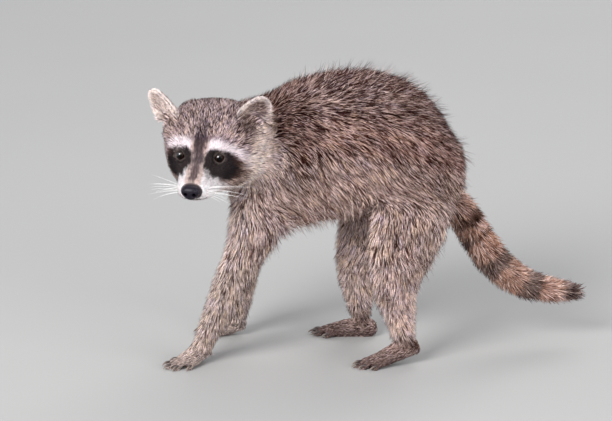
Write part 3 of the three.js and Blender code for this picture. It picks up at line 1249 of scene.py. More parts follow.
    def leg_colours(self, points: Array) -> Array:
        """Paints the legs and paws, palest on the inside and along the edges.

        Args:
            points: places on the legs and paws.

        Returns:
            The colours.
        """
        height = points[:, 2]
        pale = np.zeros(len(points))
        owners = self.anatomy.owners(points)
        for name in LEGS:
            out = unit(self.anatomy.spines[name].nearest(points)[2])
            inner = smooth(0.2, 0.8, out[:, 1] * SIDES[name.split("_")[-1]])
            edge = smooth(0.3, 1, np.abs(out[:, 0]))
            pale += owners[name] * np.maximum(inner, 0.7 * edge * ("hind" in name))
        hind = smooth(-90, -50, points[:, 0] - 0.35 * (height - 60))
        pale = np.maximum(pale, smooth(-118, -138, points[:, 0]) * smooth(105, 130, height))
        coat = Layers.plain(points, Dye.FORELEG).lay(Dye.FORELEG_TOP, smooth(90, 150, height))
        behind = Layers.plain(points, Dye.HIND_LEG).lay(Dye.HIND_LEG_TOP, smooth(80, 150, height))
        coat.lay(behind, hind)
        coat.lay(Dye.LEG_EDGE, 0.85 * pale * smooth(20, 50, height))
        coat.lay(Dye.HOCK, hind * smooth(46, 26, height))
        return coat.lay(Dye.TOES, smooth(24, 8, height) * (0.55 + 0.25 * hind)).rows

    def paint(self, points: Array) -> tuple[Array, Array]:
        """Paints any places.

        Args:
            points: the places.

        Returns:
            The linear colour and how strongly the hairs there are banded and grizzled.
        """
        parts = self.anatomy.parts(points)
        ripple = 1.3 * Lattice(3.2, 11).at(points) + 0.9 * Lattice(1.4, 12).at(points)
        patch = Lattice(26, 13).at(points) + 0.5 * Lattice(9, 14).at(points)
        head_colour, on_head = self.head_colours(points, ripple)
        trunk_colour, on_trunk = self.trunk_colours(points)
        layers = (
            (sum(parts[p] for p in HEAD_PARTS), head_colour),
            (parts[Part.EAR], self.ear_colours(points)),
            (parts[Part.NECK] + parts[Part.TRUNK], trunk_colour),
            (parts[Part.TAIL], self.tail_colours(points, ripple)),
            (sum(parts[p] for p in LEG_PARTS), self.leg_colours(points)),
        )
        colour = sum(share[:, None] * layer for share, layer in layers)
        left = 1 + (on_head - 1) * layers[0][0] + (on_trunk - 1) * layers[2][0]
        band = self.anatomy.blend(parts, "band") * left
        mottle = 1 + 0.16 * patch * band
        return np.clip(colour * mottle[:, None], 0, 1), band


# ---- skin


@dataclass
class Skin:
    """One closed skin under the whole coat, with lids, mouth and flat soles."""

    anatomy: Anatomy
    markings: Markings
    reach: float = 17
    half_depth: float = 7
    lid: float = 0.9
    target_triangles: int = 150_000
    distance: Volume = field(init=False)
    points: Array = field(init=False)
    triangles: Array = field(init=False)
    normals: Array = field(init=False)

    def build(self) -> Piece:
        """Makes the skin.

        Returns:
            The skin.
        """
        self.distance = self.hollowed(self.outline())
        points, quads = self.distance.surface()
        piece = self.thinned(mesh_piece("skin", points, quads))
        self.refine_face(piece)
        self.points, self.triangles = read_mesh(piece.data)
        self.points = self.open_lids(self.points)
        self.points[:, 2] = np.where(self.points[:, 2] < 0.35, 0, self.points[:, 2])
        piece.data.vertices.foreach_set("co", (self.points * MM).astype(np.float32).ravel())
        piece.data.update()
        self.normals = self.point_normals()
        colour, band = self.markings.paint(self.points)
        set_attribute(piece.data, "tint", "FLOAT_COLOR", colour)
        set_attribute(piece.data, "band", "FLOAT", band)
        piece.data.materials.append(SkinFinish().material())
        return piece

    def outline(self) -> Volume:
        """Joins the outlines of all the nodes, without the gaps between them.

        Returns:
            The distance from the joined outline.
        """
        a = self.anatomy
        points, faces, count = [], [], 0
        for node_points, node_faces in a.meshes.values():
            points.append(node_points)
            faces.append(node_faces + count)
            count += len(node_points)
        narrow = Volume.around(a.low, a.high, a.pitch)
        narrow.fill_distance(np.concatenate(points), np.concatenate(faces), 3 * a.pitch, 3 * a.pitch)
        surface = narrow.surface()
        wide = Volume.around(a.low, a.high, a.pitch)
        return wide.fill_distance(*surface, outside=12, inside=self.reach + 3)

    def hollowed(self, outline: Volume) -> Volume:
        """Moves the outline inwards by the depth of the coat and shapes the face.

        Args:
            outline: the distance from the outside of the coat.

        Returns:
            The distance from the skin.
        """
        a = self.anatomy
        depth, calm = (Volume.around(a.low, a.high, a.coarse) for _ in range(2))
        _, places = depth.block((a.low + a.high) / 2, 1000)
        near = np.flatnonzero(np.abs(outline.at(places) + self.half_depth) < self.reach)
        parts = a.parts(places[near])
        depth.values.flat[near] = a.depth(places[near], parts)
        calm.values.flat[near] = sum(parts[p] for p in LONG_HAIRED)
        band = np.flatnonzero(np.abs(outline.values.ravel() + self.half_depth) < self.reach - 4)
        index = np.stack(np.unravel_index(band, outline.values.shape), axis=1)
        places = outline.low + index * outline.pitch
        held = smooth(0.3, 3.5, places[:, 2])
        outline.values.flat[band] += depth.at(places) * held
        blurred = Volume(outline.low, outline.pitch, outline.blurred(4))
        share = smooth(0.55, 0.95, calm.at(places)) * smooth(4, 12, places[:, 2])
        outline.values.flat[band] = over(outline.values.flat[band], blurred.values.flat[band], share)
        self.keep_ears(outline)
        self.shape_face(outline)
        return outline

    def keep_ears(self, volume: Volume) -> None:
        """Adds the thin ears, which the depth of the coat around them would swallow.

        Args:
            volume: the distance from the skin, which is changed.
        """
        for name, seat in self.anatomy.ears.items():
            points, faces = self.anatomy.meshes[f"ear_{name}"]
            slices, places = volume.block((points.min(axis=0) + points.max(axis=0)) / 2, 34)
            start = np.array([s.start for s in slices])
            empty = np.zeros_like(volume.values[slices])
            ear = Volume(volume.low + start * volume.pitch, volume.pitch, empty)
            ear.fill_distance(points, faces, 6, 4)
            rise = (places - seat.root) @ seat.axis / seat.length
            blend = 2.5 + 8 * smooth(0.5, 0.1, rise.reshape(ear.values.shape))
            volume.values[slices] = softly(volume.values[slices], ear.values + 0.5, blend)

    def shape_face(self, volume: Volume) -> None:
        """Rounds the lids over the eyes and presses in the mouth.

        Args:
            volume: the distance from the skin, which is changed.
        """
        a = self.anatomy
        slices, places = volume.block(a.head.origin, 62)
        values = volume.values[slices].ravel().astype(float)
        for seat in a.eyes.values():
            values = softly(values, seat.away(places) - (seat.radius + self.lid), 3.5)
        for side in SIDES.values():
            corners = [(49, 0), (44, 8), (34, 15), (22, 18), (13, 21)]
            line = [(f, side * s, float(Markings.lip_line(np.array(f), np.array(s)))) for f, s in corners]
            values = grooved(values, places, a.head.outside(line), 1)
        volume.values[slices] = values.reshape(volume.values[slices].shape)

    def thinned(self, piece: Piece) -> Piece:
        """Leaves out faces where they are not needed.

        Args:
            piece: the skin, which goes.

        Returns:
            A skin with fewer faces on the trunk, tail and legs.
        """
        points, triangles = read_mesh(piece.data)
        parts = self.anatomy.parts(points)
        plain = sum(parts[p] for p in (*LONG_HAIRED, Part.RUFF))
        group = piece.vertex_groups.new(name="plain")
        for level in range(1, 5):
            chosen = np.flatnonzero(np.round(plain * 4) == level)
            group.add(chosen.tolist(), level / 4, "REPLACE")
        modifier = piece.modifiers.new("fewer_faces", "DECIMATE")
        modifier.ratio = min(1, self.target_triangles / len(triangles))
        modifier.vertex_group = group.name
        return solidified(piece)

    def refine_face(self, piece: Piece) -> None:
        """Splits the faces around the eyes so that the lids come out crisp.

        Args:
            piece: the skin, which is changed.
        """
        work = bmesh.new()
        work.from_mesh(piece.data)
        for reach in (12.5, 9):
            work.verts.ensure_lookup_table()
            work.verts.index_update()
            points = np.array([v.co for v in work.verts]) / MM
            close = np.zeros(len(points), bool)
            for seat in self.anatomy.eyes.values():
                close |= seat.away(points) < reach
            edges = [edge for edge in work.edges if all(close[vert.index] for vert in edge.verts)]
            bmesh.ops.subdivide_edges(work, edges=edges, cuts=1, use_grid_fill=True)
            bmesh.ops.triangulate(work, faces=work.faces[:])
        for face in work.faces:
            face.smooth = True
        work.to_mesh(piece.data)
        work.free()
        piece.vertex_groups.clear()

    def open_lids(self, points: Array) -> Array:
        """Opens the skin between the lids.

        Args:
            points: the skin's points.

        Returns:
            The points, drawn back behind each eyeball.
        """
        points = points.copy()
        for seat in self.anatomy.eyes.values():
            rays = points - seat.middle
            length = np.linalg.norm(rays, axis=1)
            near = np.flatnonzero((length < 15) & (rays @ seat.look > 0))
            q = seat.opening(points[near])
            deep = seat.radius - 2.4
            kept = deep + (length[near] - deep) * smooth(0.88, 1.08, q)
            above = smooth(0, 3, rays[near] @ seat.up)
            kept -= 0.45 * above * np.exp(-(((q - 1.42) / 0.12) ** 2))
            points[near] = seat.middle + unit(rays[near]) * kept[:, None]
        return points

    def point_normals(self) -> Array:
        """Finds the direction out of the skin at each of its points.

        Returns:
            The directions.
        """
        corners = self.points[self.triangles]
        facing = np.cross(corners[:, 1] - corners[:, 0], corners[:, 2] - corners[:, 0])
        normals = np.zeros_like(self.points)
        for corner in range(3):
            for axis in range(3):
                index = self.triangles[:, corner]
                normals[:, axis] += np.bincount(index, facing[:, axis], len(self.points))
        return unit(normals)


# ---- coat


ABOVE_GROUND = (-9, -9, 0.0002)  # the least that X, Y and Z may be, in metres
CELL_KEYS = (73856093, 19349663, 83492791)  # primes that give each cell of a lattice its own number


@dataclass
class Tufts:
    """Tufts of hair that are still only numbers, one row for each."""

    roots: Array
    lie: Array
    rise: Array
    size: Array
    sweep: Array
    tint: Array
    band: Array
    luck: Array

    def chosen(self, rows: Array) -> "Tufts":
        """Returns some of the tufts."""
        return Tufts(*(getattr(self, name)[rows] for name in self.__dataclass_fields__))


@dataclass
class TuftTree:
    """The Geometry Nodes tree that plants a tapered, bent tuft on every point of a mesh."""

    patch: float = 0.003
    segments: int = 2
    tree: GeometryTree = field(init=False)

    def __post_init__(self) -> None:
        """Builds the tree."""
        kinds = {"Roots": "Geometry", "Segments": "Int", "Patch": "Float", "Finish": "Material"}
        tree = self.tree = GeometryTree("tufts", kinds)
        roots, segments, patch, finish = tree.given
        hair = self.one_tuft(segments)
        lie, rise, size, sweep, place = (tree.named(n) for n in ("lie", "rise", "size", "sweep", "place"))
        turn = tree.add(
            "FunctionNodeAxesToRotation",
            {"primary_axis": "Z", "secondary_axis": "X"},
            {"Primary Axis": lie, "Secondary Axis": rise},
        )
        planting = {"Points": roots, "Instance": hair, "Rotation": turn, "Scale": size}
        planted = tree.add("GeometryNodeInstanceOnPoints", inputs=planting)
        real = tree.add("GeometryNodeRealizeInstances", inputs={"Geometry": planted})
        along = tree.named("along", "FLOAT")
        bend = tree.add("ShaderNodeVectorMath", {"operation": "SCALE"}, {0: sweep, "Scale": along * along})
        bent = tree.add("GeometryNodeSetPosition", inputs={"Geometry": real, "Offset": bend})
        lifted = tree.vector("MAXIMUM", tree.add("GeometryNodeInputPosition"), ABOVE_GROUND)
        raised = tree.add("GeometryNodeSetPosition", inputs={"Geometry": bent, "Position": lifted})
        spot = tree.vector("MULTIPLY_ADD", tree.named("spot"), tree.joined(patch, patch, patch), place)
        tree.end(tree.stored(raised, "OFBake", spot, "FLOAT2", "CORNER"), finish)

    def one_tuft(self, segments: Wire) -> Wire:
        """Makes a closed tuft one metre long, with its place along and around it kept as attributes.

        Args:
            segments: how many rings of faces it has.

        Returns:
            The tuft.
        """
        tree = self.tree
        sizes = {"Vertices": 3, "Side Segments": segments, "Radius Top": 0, "Radius Bottom": 1}
        cone = tree.add("GeometryNodeMeshCone", {"fill_type": "NGON"}, {**sizes, "Depth": 1})
        place = tree.add("GeometryNodeInputPosition")
        split = tree.add("ShaderNodeSeparateXYZ", inputs={0: place}).socket.node
        x, y, z = (Wire(tree, split.outputs[k]) for k in range(3))
        spot = tree.joined(y * 0.57 + 0.5, z * 0.85 + x * 0.05 + 0.05, 0)
        marked = tree.stored(tree.stored(cone, "spot", spot, "FLOAT_VECTOR"), "along", z, "FLOAT")
        belly = z * 3 + 0.5
        fuller = tree.joined(x * belly, y * belly, z)
        return tree.add("GeometryNodeSetPosition", inputs={"Geometry": marked, "Position": fuller})

    def grow(self, name: str, tufts: Tufts, place: Array, finish: bpy.types.Material) -> Piece:
        """Makes one piece of the coat.

        Args:
            name: the piece's name.
            tufts: its tufts.
            place: where each root lies on the piece's unwrap, from 0 to 1.
            finish: the hair's material.

        Returns:
            The piece, as a plain mesh.
        """
        source = mesh_piece(name, tufts.roots, np.zeros((0, 3), int))
        used = {
            "lie": tufts.lie,
            "rise": tufts.rise,
            "size": tufts.size * MM,
            "sweep": tufts.sweep * MM,
            "place": np.pad(place, ((0, 0), (0, 1))),
        }
        for label, values in used.items():
            set_attribute(source.data, label, "FLOAT_VECTOR", values)
        set_attribute(source.data, "tint", "FLOAT_COLOR", tufts.tint)
        set_attribute(source.data, "band", "FLOAT", tufts.band)
        set_attribute(source.data, "luck", "FLOAT", tufts.luck)
        inputs = {"Segments": self.segments, "Patch": self.patch, "Finish": finish}
        piece = self.tree.made(source, inputs)
        for label in used:
            piece.data.attributes.remove(piece.data.attributes[label])
        return piece


@dataclass
class Coat:
    """The whole coat, in pieces that each cover one region of the skin."""

    skin: Skin
    seed: int = 5
    guard_share: float = 0.10
    long_from: float = 13
    lock_sizes: tuple[float, float] = (5.5, 2.8)
    trunk_pieces: tuple[str, ...] = ("shoulders", "ribs", "loin", "rump")

    def sow(self) -> tuple[Array, Array]:
        """Spreads the roots of all the tufts over the skin.

        Returns:
            The roots, and the directions out of the skin there.
        """
        rng = np.random.default_rng(self.seed)
        corners = self.skin.points[self.skin.triangles]
        middles = corners.mean(axis=1)
        facing = np.cross(corners[:, 1] - corners[:, 0], corners[:, 2] - corners[:, 0])
        area = np.linalg.norm(facing, axis=1) / 2
        density = self.density(middles, unit(facing))
        total = np.cumsum(area * density)
        count = int(total[-1])
        picks = (np.arange(count) + rng.uniform(0, 1, count)) / count * total[-1]
        face = np.minimum(np.searchsorted(total, picks), len(total) - 1)
        u, v = rng.uniform(0, 1, (2, count))
        u, v = np.where(u + v > 1, 1 - u, u), np.where(u + v > 1, 1 - v, v)
        shares = np.stack([1 - u - v, u, v], axis=1)[:, :, None]
        index = self.skin.triangles[face]
        roots = (self.skin.points[index] * shares).sum(axis=1)
        normals = unit((self.skin.normals[index] * shares).sum(axis=1))
        return roots, normals

    def density(self, points: Array, normals: Array) -> Array:
        """Finds how densely the coat grows.

        Args:
            points: the places.
            normals: the directions out of the skin.

        Returns:
            Tufts to a square millimetre, none on the eyes, nose and soles.
        """
        anatomy = self.skin.anatomy
        parts = anatomy.parts(points)
        density = anatomy.blend(parts, "density")
        paws = parts[Part.PAW] + parts[Part.TOES]
        density *= 1 - paws * smooth(-0.2, -0.6, normals[:, 2])
        for seat in anatomy.eyes.values():
            near = seat.away(points) < 13
            density *= np.where(near, smooth(1.02, 1.16, seat.opening(points)), 1)
        density *= smooth(0.92, 1.08, anatomy.head.from_pad(points))
        forward, left, up = anatomy.head.inside(points).T
        lips = np.abs(up - Markings.lip_line(forward, np.abs(left)))
        return density * np.where((forward > 14) & (forward < 56), smooth(0.8, 1.6, lips), 1)

    def flow(self, roots: Array, normals: Array) -> Array:
        """Finds how the hair lies.

        Args:
            roots: the tufts' roots.
            normals: the directions out of the skin.

        Returns:
            A direction along the skin at each root.
        """
        anatomy = self.skin.anatomy
        head = anatomy.head
        parts = anatomy.parts(roots)
        claims = anatomy.owners(roots)
        local = head.inside(roots)
        away = unit(local - np.array([head.nose_forward, 0, -head.nose_drop]))
        away = away + np.array([-0.5, 0, -0.55]) * (parts[Part.RUFF] + 0.4 * parts[Part.CHEEK])[:, None]
        flow = head.direction(away) * (1 - sum(parts[p] for p in Part if p not in HEAD_PARTS))[:, None]
        for seat in anatomy.eyes.values():
            ray = roots - seat.middle
            near = smooth(17, 7.5, np.linalg.norm(ray, axis=1))
            flow += 1.6 * near[:, None] * unit(ray)
        for name, seat in anatomy.ears.items():
            _, share, _ = seat.inside(roots)
            outward = 0.5 * np.clip(share, -1, 1)[:, None] * seat.across
            flow += (claims[f"ear_{name}"] * parts[Part.EAR])[:, None] * (seat.axis + outward)
        height = unit(anatomy.spines["trunk"].nearest(roots)[2])[:, 2]
        beside = 1 - np.abs(height)
        back = smooth(10, 75, roots[:, 0])
        breast = smooth(-100, -140, roots[:, 0]) * smooth(0.2, -0.4, height)
        down = 0.15 + 0.95 * beside + 0.9 * back + 2 * breast
        trunk = np.stack([1 - 0.4 * back - 0.6 * breast, np.zeros_like(down), -down], axis=1)
        flow += parts[Part.TRUNK][:, None] * unit(trunk)
        flow += parts[Part.NECK][:, None] * unit(np.array([0.8, 0.28, -0.42]))
        flow += parts[Part.TAIL][:, None] * anatomy.spines["tail"].nearest(roots)[1]
        legs = parts[Part.UPPER_LEG] + parts[Part.LOWER_LEG]
        for name in LEGS:
            heading = anatomy.spines[name].nearest(roots)[1] + np.array([0.3, 0, -0.2])
            flow += (claims[name] * legs)[:, None] * unit(heading)
        for name in PAWS:
            spread = anatomy.meshes[name][0][:, :2]
            axis = np.linalg.svd(spread - spread.mean(axis=0), full_matrices=False)[2][0]
            heading = np.array([*(-axis * np.sign(axis[0])), -0.25])
            flow += (claims[name] * (parts[Part.PAW] + parts[Part.TOES]))[:, None] * heading
        flow = tangent(flow, normals)
        rng = np.random.default_rng(self.seed + 1)
        swirl = Lattice(17, 21).at(roots) * 0.30 + rng.normal(0, 0.11, len(roots))
        loose = parts[Part.TRUNK] + parts[Part.NECK] + parts[Part.TAIL] + parts[Part.UPPER_LEG]
        swirl *= 0.45 + 0.55 * loose
        return unit(flow * np.cos(swirl)[:, None] + np.cross(normals, flow) * np.sin(swirl)[:, None])

    def groom(self) -> Tufts:
        """Grooms the whole coat.

        Returns:
            The tufts, with their lengths, bends and colours.
        """
        roots, normals = self.sow()
        anatomy = self.skin.anatomy
        parts = anatomy.parts(roots)
        rng = np.random.default_rng(self.seed + 2)
        count = len(roots)
        flow = self.flow(roots, normals)
        length = anatomy.blend(parts, "length") * rng.uniform(0.78, 1.14, count)
        length *= 1 + 0.12 * Lattice(13, 22).at(roots)
        length *= 1 - 0.25 * anatomy.tail_end(roots) * parts[Part.TAIL]
        for seat in anatomy.eyes.values():
            near = smooth(17, 8, seat.away(roots))
            length *= over(np.ones(count), 0.45, near)
        width = anatomy.blend(parts, "width") * rng.uniform(0.75, 1.2, count)
        shaggy = parts[Part.TRUNK] + parts[Part.NECK] + 0.8 * parts[Part.UPPER_LEG] + 0.5 * parts[Part.TAIL]
        ridge = smooth(0.2, 0.8, normals[:, 2]) * parts[Part.TRUNK] * smooth(-120, -40, roots[:, 0])
        hang = smooth(-0.1, -0.8, normals[:, 2]) * (parts[Part.TRUNK] + parts[Part.UPPER_LEG])
        length *= 1 + 0.25 * hang
        guard = rng.uniform(0, 1, count) < self.guard_share * shaggy * (1 + ridge)
        length = np.where(guard, length * 1.22, length)
        width = np.where(guard, width * 0.62, width)
        stand = anatomy.depth(roots, parts) * rng.uniform(0.70, 1.2, count)
        stand += hang * rng.uniform(0, 11, count)
        fluff = parts[Part.LOWER_LEG] * smooth(24, 48, roots[:, 2]) * smooth(170, 110, roots[:, 2])
        stand += fluff * np.where(roots[:, 0] > -90, 5.5, 3.5) * rng.uniform(0.2, 1, count)
        stand = np.where(guard, stand + (3 + 7 * ridge) * rng.uniform(0.3, 1, count), stand)
        stand = np.minimum(stand, 0.8 * length)
        lift = np.radians(anatomy.blend(parts, "lift") + rng.normal(0, 4, count))
        lie = unit(flow * np.cos(lift)[:, None] + normals * np.sin(lift)[:, None])
        tips = roots + flow * np.sqrt(length**2 - stand**2)[:, None] + normals * stand[:, None]
        tips, lock = self.gather(roots, tips, anatomy.blend(parts, "clump"), rng)
        for _ in range(2):
            slope = self.skin.distance.slope(tips)
            tips -= slope * (self.skin.distance.at(tips) - stand)[:, None]
        reach = np.linalg.norm(tips - roots, axis=1)
        tips = roots + (tips - roots) * np.minimum(1, length / reach)[:, None]
        tint, band = self.skin.markings.paint(roots + 0.62 * (tips - roots))
        level = parts[Part.TRUNK] + parts[Part.NECK] + parts[Part.TAIL]
        x, y, z = roots.T
        drawn = np.stack([x * (1 - 0.75 * level), y, z * (0.3 + 0.7 * level) + 0.8 * x * level], axis=1)
        streak = Lattice(1.6, 40).at(drawn)
        tint, band = self.grizzled(tint, band, parts, guard * (0.5 + 0.4 * ridge), lock, streak, rng)
        return Tufts(
            roots=roots - normals * 0.4,
            lie=lie,
            rise=normals,
            size=np.stack([width / 2, width / 2, length], axis=1),
            sweep=tips - roots - lie * length[:, None],
            tint=tint,
            band=band,
            luck=rng.uniform(0, 1, count),
        )

    def gather(
        self, roots: Array, tips: Array, share: Array, rng: np.random.Generator
    ) -> tuple[Array, Array]:
        """Draws the tips of neighbouring tufts together into locks.

        Args:
            roots: the roots of the tufts.
            tips: their tips.
            share: how closely each tip keeps to its lock.
            rng: the random numbers.

        Returns:
            The new tips, and the number of the lock that each belongs to.
        """
        length = np.linalg.norm(tips - roots, axis=1)
        coarse = length > self.long_from
        drift = np.stack([Lattice(6, 30 + k).at(roots) for k in range(3)], axis=1)
        size = np.where(coarse, *self.lock_sizes)[:, None]
        cell = np.floor((roots + drift * size * 0.6) / size).astype(np.int64)
        key = (cell * np.array(CELL_KEYS)).sum(axis=1) * 2 + coarse
        _, lock, members = np.unique(key, return_inverse=True, return_counts=True)
        centre = np.stack([np.bincount(lock, roots[:, k]) / members for k in range(3)], axis=1)[lock]
        return tips - (roots - centre) * (share * rng.uniform(0.6, 1.3, len(roots)))[:, None], lock

    def grizzled(
        self,
        tint: Array,
        band: Array,
        parts: dict[Part, Array],
        guard: Array,
        lock: Array,
        streak: Array,
        rng: np.random.Generator,
    ) -> tuple[Array, Array]:
        """Varies the colour from tuft to tuft.

        Args:
            tint: the colour of the coat at each tuft.
            band: how strongly it is banded there.
            parts: the parts' shares.
            guard: the share of dark ones among the long outer hairs, and 0 on all others.
            lock: the number of each tuft's lock.
            streak: noise drawn out along the lie of the coat.
            rng: the random numbers.

        Returns:
            The colour and the banding of each tuft.
        """
        count = len(tint)
        dark = self.skin.anatomy.blend(parts, "dark") * np.clip(band * 2, 0, 1)
        dark = np.where(guard > 0, guard, dark)
        draw = np.argsort(np.argsort(rng.normal(0, 0.9, count) + 0.75 * streak)) / count
        chosen = draw < dark
        locks = lock.max() + 1
        light = rng.normal(0, 0.52, count) + rng.normal(0, 0.30, locks)[lock] + 0.35 * streak
        light *= 0.25 + 0.75 * np.clip(band, 0, 1)
        pale = np.where(draw > 1 - 0.36 * smooth(0.2, 0.8, band), 0.9, 0)
        cream = over(tint * 1.8, Dye.PALE_TIP.linear, 0.8 * smooth(0.03, 0.2, tint.mean(axis=1)))
        lifted = np.maximum(pale, 1 - np.exp(-np.maximum(light, 0)))
        tint = over(tint * np.exp(np.minimum(light, 0))[:, None], cream, lifted)
        tint = np.where(chosen[:, None], tint * np.array([0.17, 0.09, 0.08]), tint)
        warm = (rng.normal(0, 0.06, count) + 0.06 * streak + rng.normal(0, 0.06, locks)[lock]) * band
        tint = tint * np.exp(np.outer(warm, (0.35, 0, -1.3)))
        band = np.where(chosen, band * 0.4, band)
        return np.clip(tint, 0, 1), band

    def regions(self, tufts: Tufts) -> dict[str, Array]:
        """Parts the coat into pieces.

        Args:
            tufts: the whole coat.

        Returns:
            The rows of the tufts in each piece.
        """
        anatomy = self.skin.anatomy
        strongest = np.argmax(anatomy.claims.at(tufts.roots), axis=1)
        forward, left, _ = anatomy.head.inside(tufts.roots).T
        x = tufts.roots[:, 0]
        rows: dict[str, Array] = {}
        for k, name in enumerate(FLESH):
            here = strongest == k
            if name == "head":
                face = forward > -13
                rows["coat_face"] = here & face
                rows["coat_head_left"] = here & ~face & (left > 0)
                rows["coat_head_right"] = here & ~face & (left <= 0)
            elif name == "trunk":
                cuts = np.quantile(x[here], [0, 0.25, 0.5, 0.75, 1])
                for label, low, high in zip(self.trunk_pieces, cuts, cuts[1:]):
                    rows[f"coat_{label}"] = here & (x > low) & (x <= high)
            elif name.startswith("paw"):
                rows[name.replace("paw", "coat_leg")] |= here
            else:
                rows[f"coat_{name}"] = here
        return {name: np.flatnonzero(chosen) for name, chosen in rows.items()}

    def unwrap(self, name: str, roots: Array) -> Array:
        """Lays the skin under a piece out flat.

        Args:
            name: the piece.
            roots: its tufts' roots.

        Returns:
            Where they lie on the flat, from 0 to 1.
        """
        anatomy = self.skin.anatomy
        if name.startswith(("coat_face", "coat_head")):
            rays = unit(anatomy.head.inside(roots) - np.array([-30, 0, -6]))
            angle = np.arccos(np.clip(rays[:, 0], -1, 1))
            turn = np.arctan2(rays[:, 2], rays[:, 1])
            flat = np.stack([angle * np.cos(turn), angle * np.sin(turn)], axis=1)
        elif name.startswith("coat_ear"):
            rise, share, front = anatomy.ears[name.split("_")[-1]].inside(roots)
            flat = np.stack([share + np.where(front > 0, 2.4, 0), rise * 2], axis=1)
        else:
            key = name.replace("coat_", "")
            spine = anatomy.spines.get(key, anatomy.spines["trunk"])
            place, heading, offset = spine.nearest(roots)
            side = unit(np.cross(heading, [0, 1, 0.1]))
            turn = np.arctan2(dot(offset, np.cross(heading, side)), dot(offset, side))
            flat = np.stack([turn, place], axis=1)
        low, high = flat.min(axis=0), flat.max(axis=0)
        return 0.002 + (flat - low) / (high - low) * 0.993

    def build(self) -> list[tuple[Piece, str, tuple[str, ...]]]:
        """Makes the coat.

        Returns:
            Each piece, with its slot and the nodes that it covers.
        """
        tufts = self.groom()
        LOG.info("%d tufts", len(tufts.roots))
        slots = {"face": "face", "head": "face", "ear": "ears", "tail": "tail", "leg": "limbs"}
        finishes: dict[str, bpy.types.Material] = {}
        fine, long = TuftTree(), TuftTree(segments=3)
        pieces = []
        for name, rows in self.regions(tufts).items():
            kind = name.split("_")[1]
            slot = slots.get(kind, "coat")
            if slot not in finishes:
                finishes[slot] = CoatFinish(f"{slot}_hair").material()
            tree = long if kind == "tail" else fine
            chosen = tufts.chosen(rows)
            piece = tree.grow(name, chosen, self.unwrap(name, chosen.roots), finishes[slot])
            node = name.removeprefix("coat_")
            node = "head" if kind in ("face", "head") else "trunk" if kind in self.trunk_pieces else node
            pieces.append((piece, slot, (node,)))
        return pieces


# ---- finishes


def shade(red: int, green: int, blue: int) -> Colour:
    """Returns the linear colour of three display values as plain numbers."""
    return tuple(float(v) for v in tone(red, green, blue))


@dataclass(frozen=True)
class CoatFinish(Finish):
    """Hair: dark at the root, partly the dark underfur and partly painted shade deep in the coat, a pale
    band below the tip and a darker tip.
    """

    # how dark the roots are painted: partly underfur, partly painted shade between the hairs
    root: float = 0.26
    roughness: float = 0.56

    def sockets(self, graph: Graph) -> Sockets:
        """Adds the nodes and returns the shader's inputs."""
        along = graph.attribute("along")
        band = graph.attribute("band")
        luck = graph.attribute("luck")
        tint = graph.attribute("tint", "Color")
        spot = graph.attribute("spot", "Vector")
        shift = graph.joined(luck * 31, luck * 17, luck * 40)
        strand = graph.vector("MULTIPLY_ADD", spot, (4, 0.9, 0), shift)
        fine = graph.noise(1, 1, strand)
        place = along + luck * 0.2 - 0.1
        # darker roots: partly dark underfur, partly painted shade between the hairs
        shadow = (1 - along.ramp(0, 0.55)) * (band * 0.5 + self.root)
        pale = place.ramp(0.3, 0.48) * (1 - place.ramp(0.66, 0.84)) * band
        strength = (1 - shadow) * (fine * 0.7 + 0.68)
        towards_cream = graph.attribute("tint").ramp(0, 0.2) * 0.65
        cream = graph.mix(towards_cream, graph.tinted(tint, 1.8), shade(224, 206, 200))
        banded = graph.tinted(graph.mix(pale * 0.66, tint, cream), strength)
        tip = place.ramp(0.7, 0.88) * band * luck.below(0.6) * 0.84
        dark = graph.mix(1, tint, shade(104, 68, 60), "MULTIPLY")
        return {
            "Base Color": graph.mix(tip, banded, dark),
            "Roughness": fine * 0.2 + self.roughness,
            "Specular IOR Level": 0.05,
        }


@dataclass(frozen=True)
class SkinFinish(Finish):
    """The skin under the hair, painted darker than the hair above it as shade under the coat, with fine
    pores and creases.
    """

    name: str = "skin"
    darkness: float = 0.55

    def sockets(self, graph: Graph) -> Sockets:
        """Adds the nodes and returns the shader's inputs."""
        tint = graph.attribute("tint", "Color")
        mottle = graph.noise(260, 3)
        pores = graph.noise(2200, 2)
        return {
            # the coat's colours darkened as painted shade under the hair
            "Base Color": graph.tinted(tint, mottle * 0.35 + (self.darkness - 0.15)),
            "Roughness": mottle * 0.25 + 0.55,
            "Normal": graph.bump(pores + mottle * 0.6, 0.0006, 0.6),
            "Specular IOR Level": 0.08,
        }


@dataclass(frozen=True)
class EyeFinish(Finish):
    """A brown eye with a wide round pupil. Its clear coat is strongest in front and kept to the upper side
    towards the key light, a painted reflection mask that shows the key light's highlight and hides the fill
    light's and the floor's.
    """

    seat: EyeSeat
    wet_side: tuple[float, float, float] = (-0.5, 0, 0.87)

    def sockets(self, graph: Graph) -> Sockets:
        """Adds the nodes and returns the shader's inputs."""
        place = graph.add("ShaderNodeTexCoord", output="Object")
        middle = tuple(float(v) * MM for v in self.seat.middle)
        look = tuple(float(v) for v in self.seat.look)
        ray = graph.vector("NORMALIZE", graph.vector("SUBTRACT", place, middle))
        ahead = graph.vector("DOT_PRODUCT", ray, look, output="Value")
        key_light_facing = graph.vector("DOT_PRODUCT", ray, self.wet_side, output="Value")
        fibres = graph.noise(34, 3, ray)
        iris = graph.mix(fibres.ramp(0.3, 0.7), shade(18, 10, 8), shade(46, 27, 17))
        colour = graph.mix(ahead.ramp(0.72, 0.64), iris, shade(14, 10, 10))
        colour = graph.mix(ahead.ramp(0.84, 0.88), colour, shade(5, 4, 5))
        return {
            "Base Color": colour,
            "Roughness": fibres * 0.06 + 0.05,
            "Specular IOR Level": 0.04,
            # painted reflection mask: the clear coat fades away from the key light's side
            "Coat Weight": ahead.ramp(0.5, 0.85) * key_light_facing.ramp(0.12, 0.4) * 0.96 + 0.03,
            "Coat IOR": 1.8,
            "Coat Roughness": 0.02,
        }


